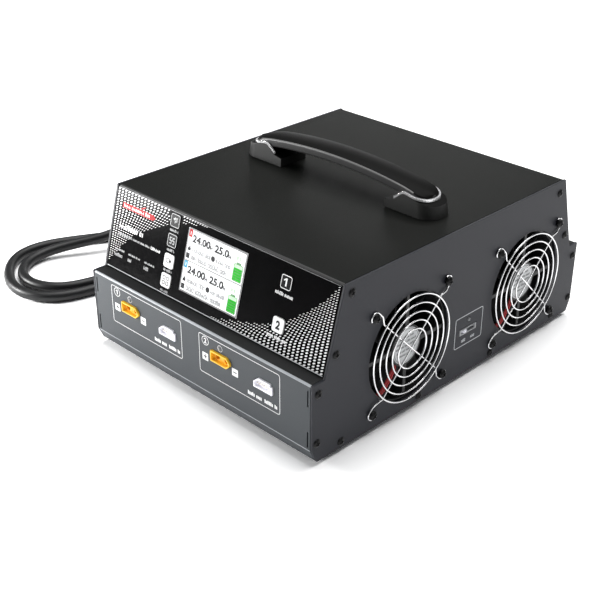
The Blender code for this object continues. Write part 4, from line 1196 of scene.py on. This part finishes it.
def panel_print():
    halftone().make("panel_dots", "ink_dot", PANEL, slot="overlay_film")
    white, grey, dim = Print(), Print(), Print()
    red = Print().poly([(-100.0, 46.4), (-66.5, 46.4), (-63.6, 48.4), (-66.5, 50.4), (-100.0, 50.4)])
    red.poly([(-81.0, 50.9), (-76.6, 53.2), (-75.0, 53.2), (-77.6, 50.9)])
    red.make("panel_stripe", "ink_red", PANEL, 2, slot="overlay_film")
    stripe = Print().words(-98.6, -69.0, 47.3, 49.6, 3, 0.9, 0.62)
    stripe.make("panel_stripe_marks", "ink_white", PANEL, 3, slot="overlay_film")
    white.words(-100.0, -73.5, 31.9, 35.4, 5, 0.85, 0.72)
    white.words(-64.0, -53.6, 26.8, 29.3, 6, 0.75, 0.8)
    grey.words(-100.0, -65.0, 26.8, 28.3, 7)
    for seed, (x0, x1, x2) in enumerate(((-101, -90, -92), (-86, -73, -81), (-68, -57, -62))):
        grey.words(x0, x1, 15.3, 16.7, 20 + seed)
        grey.words(x0, x2, 10.8, 13.2, 30 + seed, 0.7)
    for seed, (y0, y1) in enumerate(((45.6, 47.5), (31.6, 33.5), (17.2, 19.0), (2.6, 4.4))):
        grey.words(-47.6, -39.2, y0, y1, 40 + seed)
    white.words(56.6, 72.6, 37.8, 40.0, 50)
    white.words(56.4, 73.0, 9.4, 11.6, 51)
    Print().rect(-107.2, 1.32, 107.2, 1.85).make("panel_low_line", "ink_pale", PANEL, 2, slot="overlay_film")
    dim.rect(-107.2, 59.2, 107.2, 59.65)
    white.make("panel_titles", "ink_white", PANEL, 2, slot="overlay_film")
    grey.make("panel_rows", "ink_grey", PANEL, 2, slot="overlay_film")
    dim.make("panel_top_line", "ink_dim", PANEL, 2, slot="overlay_film")


def figure_one(marks, x, y, height):
    """A bold upright figure one with a flag."""
    bar = height * 0.11
    marks.rect(x - bar, y, x + bar * 1.1, y + height)
    flag = [(x - bar * 4.0, y + height * 0.76), (x - bar * 3.6, y + height * 0.62)]
    marks.poly([(x - bar, y + height), *flag, (x - bar, y + height * 0.76)])


def key_icons(name):
    marks = Print()
    if name == "menu_key_1":
        for k in range(3):
            marks.rect(-0.4 + 0.9 * k, -1.7 + 0.5 * k, 0.1 + 0.9 * k, 0.1 + 0.9 * k)
        marks.poly([(-2.4, 0.9), (-0.2, 2.4), (-0.2, 1.6), (2.2, 2.4), (2.2, 1.7), (-0.4, 0.8), (-0.4, 0.1)])
    elif name == "menu_key_2":
        for x in (-2.5, 0.4):
            marks.rect(x, 1.6, x + 2.1, 2.2).rect(x, -0.4, x + 2.1, 0.2).rect(x, -2.4, x + 2.1, -1.8)
            marks.rect(x, 0.2, x + 0.6, 1.6).rect(x + 1.5, -1.8, x + 2.1, -0.4)
    elif name == "menu_key_3":
        marks.stroke([(-2.6, -1.6), (1.2, -1.6), (1.2, 1.8), (-2.6, 1.8)], 0.5)
        marks.poly([(0.2, -0.6), (1.6, -0.6), (1.6, -1.4), (3.0, 0.1), (1.6, 1.5), (1.6, 0.7), (0.2, 0.7)])
    elif name == "menu_key_4":
        for x in (-1.75, 1.75):
            for y in (-1.75, 1.75):
                marks.stroke([(x + 1.35 * sx, y + 1.35 * sy) for sx, sy in SQUARE], 0.5)
    elif name == "channel_key_1":
        figure_one(marks, 0, -2.6, 5.2)
    else:
        marks.glyphs("2", 0, -2.55, 5.1, 0.30, "CENTER")
    return marks


KEY_RISE = (  # heights up a key's cap, and how far its outline is drawn in at each
    (-0.0034, 0.0), (0.00012, 0.0), (0.00026, 0.00006), (0.00036, 0.00018), (0.0004, 0.00036),
)


def keys():
    for name, (x, y) in KEYS.items():
        at = PANEL @ Matrix.Translation((x, y, 0))
        pale = name in ("menu_key_3", "menu_key_4", "channel_key_2")
        outline = rectangle(KEY_SIZE, KEY_SIZE, 0.0022, steps=7)
        cap = loft([[(a, b, height) for a, b in inset(outline, draw)] for height, draw in KEY_RISE])
        add(
            f"{name}_cap", cap, "key_white" if pale else "key_black", body=name,
            nodes=(name,), sharp=60, matrix=at,
        )
        top = at @ Matrix.Translation((0, 0, KEY_RISE[-1][0]))
        bright = "ink_white" if name == "channel_key_1" else "ink_grey"
        key_icons(name).make(f"{name}_icon", "ink_dark" if pale else bright, top, 1, name, "key_print")
        if not pale:
            edge = Print().stroke(millimetres(inset(outline, 0.0005)), 0.45)
            edge.make(f"{name}_edge", bright, top, 1, name, "key_print")


# ---------------------------------------------------------------- front wall


def shroud(name, outline, proud, depth, cavity, wall, mat, node, place):
    """A socket's open mouth: a wall of this thickness round a cavity that stops short of its back."""
    made = add(name, prism(outline, -proud, depth, "Y"), mat, sharp=30, bevel=0.00022, ride=False)
    carve(made, [prism(inset(outline, wall), -proud - 0.001, cavity - proud, "Y")])
    made.data.transform(Matrix.Translation(place))
    return done(made, nodes=(node,))


CHANNEL_STEP = (94.4, -0.4)  # in millimetres, from the first channel's print to the second's
OUTPUT_POLE = 0.0042  # from the socket's middle to each of its two pins
BULLET = ((0, 0.0036), (0.0008, 0.0036), (0.0014, 0.0039), (0.0017, 0.0046), (0.0017, 0.0086), (0, 0.0086))


def output_seat(k, place):
    """The inner block of an output socket, with a well for each pin, in a darker orange as painted shade."""
    core = prism(inset(output_outline(), 0.0011), 0.0008, 0.0087, "Y")
    seat = add(f"output_seat_{k}", core, "yellow_deep", sharp=30, bevel=0.0002, ride=False)
    wells = [circle(0.0019, 32, (sign * OUTPUT_POLE, 0)) for sign in (-1, 1)]
    carve(seat, [prism(well, 0.0004, 0.0084, "Y") for well in wells])
    seat.data.transform(Matrix.Translation(place))
    done(seat)


def output_pins(k, place):
    for sign, pole in ((-1, "positive"), (1, "negative")):
        centre = (place[0] + sign * OUTPUT_POLE, place[1], place[2])
        add(
            f"pin_{pole}_{k}", turned(BULLET, 28, "Y", centre), "gold",
            nodes=(f"output_pin_{pole}_{k}",), sharp=40,
        )


def balance_floor(k, place):
    floor = prism(inset(balance_outline(), 0.0012), 0.0012, 0.0066, "Y")
    at = Matrix.Translation(place)
    add(f"balance_floor_{k}", floor, "nylon", matrix=at, bevel=0.0002)


def balance_contacts(k, place):
    x, y, z = place
    spots = [(x + 0.0020 * (n - 3), y + 0.0016, z - 0.0006) for n in range(7)]
    contacts = merged([block((0.0006, 0.0034, 0.0006), spot) for spot in spots])
    add(f"balance_contacts_{k}", contacts, "brass_blade", bevel=0.0001)


def front_wall():
    for k, x in enumerate(CHANNEL_X, 1):
        output, balance, light = channel_places(x)
        shroud(
            f"output_{k}", output_outline(), 0.0016, 0.0125, 0.0105, 0.0009, "yellow",
            f"output_socket_{k}", output,
        )
        shroud(
            f"balance_{k}", balance_outline(), 0.0010, 0.0095, 0.0078, 0.0010, "nylon",
            f"balance_socket_{k}", balance,
        )
        output_seat(k, output)
        balance_floor(k, balance)
        output_pins(k, output)
        balance_contacts(k, balance)
        lens(f"channel_light_{k}_lens", f"channel_light_{k}", Matrix.Translation(light) @ FACE_FRONT)
        front_print(k, CHANNEL_STEP[0] * (k - 1), CHANNEL_STEP[1] * (k - 1))


def lens(name, node, place):
    radius, proud = LENS_RADIUS, 0.0008
    profile = [(0, -0.005), (radius, -0.005), (radius, 0.0)]
    profile += [round_point(radius, a, proud) for a in range(15, 90, 15)] + [(0, proud)]
    add(name, turned(profile, 32), "lens", nodes=(node,), sharp=50, matrix=place)


def front_print(channel, dx, dz):
    """The line work round a channel's sockets, placed against the first channel's."""
    marks, signs, rows = Print(dx, dz), Print(dx, dz), Print(dx, dz)
    marks.stroke(millimetres(rectangle(0.0765, 0.0297, 0.0022, (-0.05075, 0.03885))), 0.45)
    marks.ring(-82.5, 49.4, 3.4, 0.45)
    if channel == 1:
        figure_one(marks, -82.3, 47.6, 3.6)
    else:
        marks.glyphs("2", -82.5, 47.6, 3.6, 0.12, "CENTER")
    marks.ring(-68.0, 48.8 - dz, 2.3, 0.3)
    for x in (-83.0, -54.0):
        marks.rect(x - 2.85, 34.4, x + 2.85, 40.1, 0.5)
    signs.rect(-84.6, 36.9, -81.4, 37.6).rect(-83.35, 35.65, -82.65, 38.85).rect(-55.6, 36.9, -52.4, 37.6)
    for seed, (x0, x1) in enumerate(((-42.0, -28.2), (-26.6, -14.9)), 60):
        rows.words(x0, x1, 27.1, 29.9, seed, 0.66, 0.86, 0.25)
    marks.make(f"front_marks_{channel}", "ink_white", FRONT, slot="case_paint")
    signs.make(f"front_signs_{channel}", "ink_dark", FRONT, 2, slot="case_paint")
    rows.make(f"front_rows_{channel}", "ink_white", FRONT, slot="case_paint")


# ---------------------------------------------------------------- fans


def fan_corners(y):
    half = FAN_PITCH / 2
    return [(y + sy * half, FAN_Z + sz * half) for sy in (-1, 1) for sz in (-1, 1)]


def fan_housing(name, at):
    body = prism(rectangle(FAN_SIZE, FAN_SIZE, 0.004), -FAN_DEEP, 0, "X")
    made = add(f"fan_housing_{name}", body, "plastic", sharp=30, bevel=0.0004, ride=False)
    holes = [circle(FAN_BORE, 96)]
    holes += [circle(SCREW_HOLE, 20, (y - at[1], z - at[2])) for y, z in fan_corners(at[1])]
    carve(made, [prism(hole, -FAN_DEEP - 0.001, 0.001, "X") for hole in holes])
    made.data.transform(Matrix.Translation(at))
    done(made, nodes=(f"fan_frame_{name}",))


def fan_stator(name, at):
    """The fixed hub on its four struts, with a label that carries rows of marks."""
    hub = [(0, -0.0032), (0.0148, -0.0032), (0.0148, -0.0008), (0.0144, -0.0003)]
    hub += [(0.0137, -0.0003), (0.0134, -0.0006), (0, -0.0006)]
    shapes = [turned(hub, 64, "X")]
    strut = [(0.0135, -0.0017), (0.0385, -0.0013), (0.0385, 0.0013), (0.0135, 0.0017)]
    for k in range(4):
        arm = prism(strut, -0.0029, -0.0008, "X")
        arm.transform(Matrix.Rotation(math.pi / 2 * k, 4, "X"))
        shapes.append(arm)
    place = Matrix.Translation(at)
    add(
        f"fan_stator_{name}", merged(shapes), "plastic", sharp=30, matrix=place,
        bevel=0.0002,
    )
    disc = [(0, -0.0008), (0.0132, -0.0008), (0.0132, -0.00045), (0.0131, -0.0004), (0, -0.0004)]
    add(f"fan_label_{name}", turned(disc, 64, "X"), "label", sharp=30, matrix=place)
    face = Matrix.Translation(at) @ Matrix(((0, 0, 1, -0.0004), (1, 0, 0, 0), (0, 1, 0, 0), (0, 0, 0, 1)))
    marks = Print().ring(0, 0, 12.4, 0.3, 64)
    for row, (reach, y) in enumerate(((7.0, 6.6), (9.5, 3.4), (10.5, 0.2), (9.5, -3.0), (6.5, -6.2))):
        marks.words(-reach, reach, y - 0.8, y + 0.8, 70 + row)
    marks.make(f"fan_label_marks_{name}", "ink_dim", face, 1, slot="black_plastic")


def fan_leads(name, at):
    """Three thin leads side by side from the hub to the frame."""
    for k, mat in enumerate(("lead_red", "lead_red", "cord")):
        side = (k - 1) * 0.0017
        path = [(-0.0022, -0.0078 + side * 0.7, -0.0108 - side * 0.7)]
        path += [(-0.0012, -0.0112 + side, -0.0158 - side)]
        path += [(-0.0009, -0.0168 + side, -0.0220 - side), (-0.0010, -0.0222 + side, -0.0270 - side)]
        path += [(-0.0030, -0.0252 + side, -0.0288 - side * 0.6)]
        line = [Vector(p) + Vector(at) for p in smooth_line(path, 8)]
        add(f"fan_lead_{name}_{k + 1}", tube(line, 0.0008, 14), mat, sharp=60)


def fan_blade(turn, middle, half_axial):
    """A swept and cambered blade, wider towards its tip."""
    root, tip = BLADE_REACH
    sections = []
    for station in range(9):
        t = station / 8
        radius = root + (tip - root) * t
        half_chord = 0.0052 + 0.0050 * t**0.8
        sweep = 0.0035 * t * t
        ring = []
        for side in (1, -1):
            for j in range(9):
                u = (j / 4 - 1) * side
                camber = 0.0016 * (1 - u * u)
                thick = 0.00065 * math.sqrt(max(1 - u * u, 0.02)) * side
                y = -half_chord * u + sweep + camber + thick
                height = math.sqrt(max(radius**2 - y * y, 0))
                ring.append(turn @ Vector((middle + half_axial * u, y, height)))
        sections.append(ring)
    return loft(sections)


def fan_wheel(name, at):
    front, back = WHEEL_ENDS
    cup = [(0, back), (0.0132, back), (0.0146, back + 0.0006), (0.0150, back + 0.0016)]
    cup += [(0.0150, front - 0.0006), (0.0144, front), (0, front)]
    shapes = [turned(cup, 64, "X")]
    middle = (front + back) / 2
    half_axial = (front - back) / 2 - 0.0013
    for n in range(BLADES):
        turn = Matrix.Rotation(2 * math.pi * n / BLADES, 3, "X")
        shapes.append(fan_blade(turn, middle, half_axial))
    add(
        f"fan_wheel_{name}", merged(shapes), "rotor", body=f"rotor_{name}",
        nodes=(f"fan_rotor_{name}",), sharp=50, matrix=Matrix.Translation(at),
    )


def guard(name, y):
    """Five rings on a cross of two wires, whose ends hook round the screws of the fan."""
    wire, stand = GUARD_WIRE, GUARD_STAND
    shapes = []
    for radius in GUARD_RINGS:
        steps = max(48, round(radius * 3000))
        ring = [(stand, y, z) for y, z in circle(radius, steps)]
        shapes.append(tube(ring, wire, 12, closed=True))
    screw = FAN_PITCH / math.sqrt(2)
    low, hook = stand - 1.5 * wire, GAP + wire
    half = [(low, 0.010, 0), (low, 0.020, 0), (low, 0.030, 0), (low, 0.0385, 0)]
    half += [(low - 0.0004, 0.0402, -0.0005), (hook + 0.0004, 0.0446, -HOOK + 0.0004), (hook, 0.0468, -HOOK)]
    for k in range(17):
        a = math.radians(-90 + 10 * k)
        half.append((hook, screw + HOOK * math.cos(a), HOOK * math.sin(a)))
    whole = [(x, -a, -b) for x, a, b in reversed(half)] + [(low, 0, 0)] + half
    line = smooth_line(whole, 5)
    for angle in (math.pi / 4, -math.pi / 4):
        shapes.append(tube([Matrix.Rotation(angle, 3, "X") @ p for p in line], wire, 12))
    add(
        f"guard_{name}", merged(shapes), "wire", nodes=(f"fan_guard_{name}",), sharp=60,
        matrix=Matrix.Translation((HALF_W, y, FAN_Z)),
    )
    seat = GAP + 2 * wire + GAP
    for k, (sy, sz) in enumerate(fan_corners(y), 1):
        centre = (HALF_W + seat, sy, sz)
        shank = [(0, -0.012), (0.0016, -0.012), (0.0016, -0.0004), (0, -0.0004)]
        add(f"guard_shank_{name}_{k}", turned(shank, 20, "X", centre), "screw")
        cross_screw(
            f"guard_head_{name}_{k}", Matrix.Translation(centre) @ FACE_RIGHT, 0.0033, 0.0021, 0.7 * k,
            (0.0040, 0.0009, 0.0024), (f"guard_screw_{name}_{k}",),
        )


def fans():
    for name, y in FAN_Y.items():
        at = (FAN_FACE, y, FAN_Z)
        fan_housing(name, at)
        fan_stator(name, at)
        fan_leads(name, at)
        fan_wheel(name, at)
        guard(name, y)


# ---------------------------------------------------------------- selector switch


def selector_body():
    at = (HALF_W, *SELECTOR)
    shape = prism(rectangle(0.0184, 0.0044), -0.009, GAP, "X")
    body = add("selector_body", shape, "switch_grey", bevel=0.0002, ride=False)
    carve(body, [prism(rectangle(*SELECTOR_SLOT), -0.006, 0.001, "X")])
    body.data.transform(Matrix.Translation(at))
    done(body, nodes=("selector_housing",))


def selector_knob():
    width = SELECTOR_SLOT[0] - SELECTOR_THROW - 2 * GAP
    place = (HALF_W, SELECTOR[0] - SELECTOR_SLOT[0] / 2 + GAP + width / 2, SELECTOR[1])
    shapes = [
        prism(rectangle(width, 0.0020), -0.0055, -0.0012, "X"),
        prism(rectangle(0.0030, 0.0018), -0.0016, 0.0006, "X"),
    ]
    shapes += [block((0.0004, 0.0003, 0.0018), (0.0007, dy, 0)) for dy in (-0.0008, 0.0, 0.0008)]
    add(
        "selector_knob", merged(shapes), "nylon", body="selector",
        nodes=("selector_slider",), matrix=Matrix.Translation(place), bevel=0.00012,
    )


def selector_print():
    marks = Print()
    line = rectangle(0.0308, 0.0239, 0.0020, (0.0116, 0.03585))
    marks.stroke(millimetres(line), 0.55)
    for x, seed in ((6.5, 149), (16.6, 159)):
        marks.words(x - 2.2, x + 2.2, 27.0, 29.3, seed, 0.7, 0.9)
    marks.make("selector_marks", "ink_pale", RIGHT, slot="case_paint")


# ---------------------------------------------------------------- handle

GRIP_LONG = 0.0822  # half length, half width and end radius of the bar
GRIP_WIDE = 0.0108
GRIP_END = 0.0096
GRIP_TOP = 0.0230  # its middle above the lid, and its thickness there
GRIP_THICK = 0.0063
GRIP_ARCH = 0.860  # twice the radius of its long arch
GRIP_DIP = (0.062, 0.0020)  # where its ends start to dip, and by how much
GRIP_EDGE = 0.0013
FOOT_IN = 0.0500
TRIM_START = 0.0570
TRIM_HIGH = 0.0016
TRIM_THICK = 0.0012
FOOT_SIZE = (0.0905, 0.0130, 0.0115)  # outer end, half width and corner, at the lid
FOOT_TAPER = (0.0060, 0.0014)  # lost over 30 mm of height by the outer end and by each side


def grip_width(x):
    past = abs(x) - (GRIP_LONG - GRIP_END)
    if past <= 0:
        return GRIP_WIDE
    return GRIP_WIDE - GRIP_END + math.sqrt(max(GRIP_END**2 - past**2, 0))


def grip_drop(x):
    """How far the arched bar lies under its middle; its ends dip into the feet."""
    start, depth = GRIP_DIP
    past = max(abs(x) - start, 0) / (GRIP_LONG - start)
    return x * x / GRIP_ARCH + depth * past**2


def grip_solid(grow=0.0, extra=0.0):
    """The bar with its crowned top; grown and raised, it clears its own room in the feet."""
    straight = GRIP_LONG - GRIP_END
    half = [straight * k / 20 for k in range(20)]
    half += [straight + GRIP_END * math.sin(math.radians(a)) for a in range(0, 85, 6)] + [GRIP_LONG]
    sections = []
    for x in [-x for x in reversed(half[1:])] + half:
        w = max(grip_width(x), 0.0014) + grow
        top = LID + GRIP_TOP - grip_drop(x) + extra
        low = LID + GRIP_TOP - GRIP_THICK - grip_drop(x) - grow
        soft = min(GRIP_EDGE, w * 0.8)
        ring = []
        for start, middle in ((-90, low + soft), (0, top - soft)):
            for k in range(5):
                out, up = round_point(soft, start + 22.5 * k)
                ring.append((w - soft + out, middle + up))
        for k in range(1, 8):
            share = 1 - k / 4
            ring.append(((w - soft) * share, top + GRIP_EDGE * (1 - share * share)))
        ring += [(-y, z) for y, z in reversed(ring[:10])]
        sections.append([(x * (1 + grow / GRIP_LONG), y, z) for y, z in ring])
    return loft(sections)


def foot_plan(side, outer, half_width, corner, inner=FOOT_IN):
    """A foot seen from above, with its two outer corners as arcs."""
    arc = [round_point(corner, 90 - 7.5 * k) for k in range(13)]
    bend = [(outer - corner + x, half_width - corner + y) for x, y in arc]
    plan = [(inner, -half_width), (inner, half_width)] + bend + [(x, -y) for x, y in reversed(bend)]
    return [(side * x, y) for x, y in plan]


def foot_blank(side, low):
    """The tapered block that a foot is cut from: its outer end leans in most."""
    outer, half_width, corner = FOOT_SIZE
    end, flank = FOOT_TAPER
    base = foot_plan(side, outer, half_width, corner)
    top = foot_plan(side, outer - end, half_width - flank, corner - flank)
    return loft([[(x, y, low) for x, y in base], [(x, y, low + 0.030) for x, y in top]])


def rim_line(lift):
    """The foot's rim from its inner end to its outer end: a smooth swell over the four corners."""
    knots = [(FOOT_IN, 0.0064), (0.0575, 0.0078), (0.0650, 0.0139), (0.0840, 0.0104), (FOOT_SIZE[0], 0.0082)]
    soft = rounded(knots, 0.006, 6, closed=False)
    return [(x, z + lift) for x, z in soft]


def grip():
    finishes = ("grip", "grip_crease_highlight", "grip_top_shade")
    made = add("grip", grip_solid(), finishes, nodes=("handle_grip",), sharp=40)
    for face in made.data.polygons:
        up, end = face.normal.z, abs(face.center.x) > GRIP_LONG - GRIP_END
        # up-facing faces and the ends take the darker painted-shade copy, the crease between top and sides
        # the lighter painted-highlight copy
        face.material_index = 2 if up > 0.90 or (end and up > 0.2) else 1 if up > 0.45 else 0


def grip_foot(name, side):
    """A foot under the rim line, with the bar's own room cut out of it."""
    blank = foot_blank(side, LID + GAP)
    foot = add(f"grip_foot_{name}", blank, ("grip_foot", "grip_top_shade"), sharp=30, bevel=0.0006, ride=False)
    rim = [(side * x, LID + z) for x, z in rim_line(0)]
    out = [(rim[0][0] - side * 0.001, rim[0][1])] + rim[1:-1] + [(rim[-1][0] + side * 0.001, rim[-1][1])]
    low = [(out[-1][0], LID - 0.001), (out[0][0], LID - 0.001)]
    carve(foot, [prism(out + low, -0.014, 0.014, "Y")], "INTERSECT")
    carve(foot, [grip_solid(GAP, 0.010)])
    for face in foot.data.polygons:
        # the foot's up-facing faces take the darker painted-shade copy of the plastic
        face.material_index = 1 if face.normal.z > 0.5 else 0
    done(foot, nodes=(f"handle_foot_{name}",))


def grip_trim(name, side):
    """A bright band that lies on the foot's rim and follows the bar's end."""
    line = [p for p in rim_line(GAP) if p[0] >= TRIM_START]
    band = [(side * x, LID + z) for x, z in line]
    band += [(side * x, LID + z + TRIM_HIGH) for x, z in reversed(line)]
    ribbon = prism(band, -0.014, 0.014, "Y")
    trim = add(f"grip_trim_{name}", ribbon, "trim", sharp=30, bevel=0.0002, ride=False)
    clear = [size + GAP for size in (GRIP_LONG, GRIP_WIDE, GRIP_END)]
    outside = foot_plan(side, *[size + TRIM_THICK for size in clear])
    inside = foot_plan(side, *clear, FOOT_IN - 0.010)
    carve(trim, [prism(outside, LID, LID + 0.030)], "INTERSECT")
    carve(trim, [prism(inside, LID - 0.001, LID + 0.031)])
    done(trim, nodes=(f"handle_trim_{name}",))


def handle():
    grip()
    for name, side in (("left", -1), ("right", 1)):
        grip_foot(name, side)
        grip_trim(name, side)


# ---------------------------------------------------------------- rear wall


def switch_frame():
    flange = prism(rectangle(0.030, 0.022, 0.002), GAP, 0.0020, "Y")
    body = add("switch_frame", flange, "plastic", bevel=0.0004, ride=False)
    carve(body, [prism(rectangle(*SWITCH_BODY), -0.0140, 0.0010, "Y")], "UNION")
    carve(body, [prism(rectangle(0.0236, 0.0156), -0.0085, 0.003, "Y")])
    body.data.transform(Matrix.Translation(SWITCH))
    done(body, nodes=("power_switch_housing",))


def switch_rocker():
    """The tilted rocker, crowned at its two ends, with a bar for on and a ring for off."""
    outline = [(-0.0090, -0.0050), (0.0090, -0.0050), (0.0110, 0.0032)]
    outline += [(0.0110 * (1 - k / 4), 0.0032 - 0.0016 * (1 - abs(1 - k / 4) ** 1.6)) for k in range(1, 8)]
    outline.append((-0.0110, 0.0032))
    tilt = Matrix.Translation(SWITCH) @ Matrix.Rotation(math.radians(7.0), 4, "Z")
    rocker = prism(outline, -0.0075, 0.0075)
    add(
        "switch_rocker", rocker, "key_black", body="rocker",
        nodes=("power_switch_rocker",), matrix=tilt, bevel=0.0005, sharp=40,
    )
    for name, x, lean in (("on", 0.0068, 1), ("off", -0.0068, -1)):
        face = Matrix.Translation((x, 0.00240, 0)) @ Matrix.Rotation(math.radians(8.5 * lean), 4, "Z")
        face = face @ Matrix(((-1, 0, 0, 0), (0, 0, 1, 0), (0, 1, 0, 0), (0, 0, 0, 1)))
        marks = Print()
        if name == "on":
            marks.rect(-0.4, -2.2, 0.4, 2.2, 0.2)
        else:
            marks.ring(0, 0, 2.1, 0.7)
        marks.make(f"switch_mark_{name}", "ink_white", tilt @ face, 2, "rocker", "black_plastic")


# ---------------------------------------------------------------- inside

INSIDE = {
    "control_board": "board",
    "socket_board": "board",
    "power_board": "board",
    "heat_sink_front": "aluminium",
    "heat_sink_rear": "aluminium",
    "transformer": "tape",
    "filter_capacitor": "sleeve",
}


def inside():
    for node, mat in INSIDE.items():
        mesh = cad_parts[node].data
        mesh.materials.clear()
        mesh.materials.append(MAT[mat])


# ---------------------------------------------------------------- studio


FLOOR = {"vary": 0.01, "patch": 3, "grain": 90, "bump": 0.00002, "specular": 0.1}
LIGHTS = (  # name, place, aim, size and watts
    ("light_top", (-0.20, 0.62, 2.2), (0, 0.05, 0), (2.2, 2.2), 80),
    ("light_front", (-0.50, -0.42, 0.13), (-0.04, -0.143, 0.035), (0.20, 0.10), 4.8),
    ("light_right", (1.4, -0.1, 0.6), (0.11, 0, 0.06), (0.5, 0.3), 1.3),
    ("light_back", (-1.5, 1.9, 0.45), (-0.05, 0.1, 0.12), (1.0, 0.2), 4.4),
)
SKY = (0.9, 0.92, 0.95, 1)
SKY_STRENGTH = 0.12


def area(name, place, aim, size, power):
    light = bpy.data.lights.new(name, "AREA")
    light.shape = "RECTANGLE"
    light.size, light.size_y = size
    light.energy = power
    lamp = bpy.data.objects.new(name, light)
    bpy.context.collection.objects.link(lamp)
    lamp.location = place
    lamp.rotation_euler = (Vector(aim) - Vector(place)).to_track_quat("-Z", "Y").to_euler()
    return lamp


def studio():
    shape = bmesh.new()
    bmesh.ops.create_grid(shape, x_segments=2, y_segments=2, size=6.0)
    mesh = bpy.data.meshes.new("floor")
    shape.to_mesh(mesh)
    shape.free()
    floor = bpy.data.objects.new("floor", mesh)
    bpy.context.collection.objects.link(floor)
    mesh.materials.append(finish("mat_floor", (1.28, 1.28, 1.28), 0.75, **FLOOR))
    lights = [area(*light) for light in LIGHTS]
    world = bpy.data.worlds.new("studio")
    world.use_nodes = True
    background = world.node_tree.nodes["Background"]
    background.inputs["Color"].default_value = SKY
    background.inputs["Strength"].default_value = SKY_STRENGTH
    bpy.context.scene.world = world
    bpy.context.scene.view_settings.view_transform = "Standard"


tray()
board_posts()
cover()
right_plate()
left_plate()
side_screws()
tray_screws()
rubber_feet()
panel_film()
display()
panel_print()
keys()
front_wall()
fans()
selector_body()
selector_knob()
lens("side_light_lens", "side_light", Matrix.Translation((HALF_W, *SIDE_LIGHT)) @ FACE_RIGHT)
selector_print()
handle()
switch_frame()
switch_rocker()
inside()
studio()
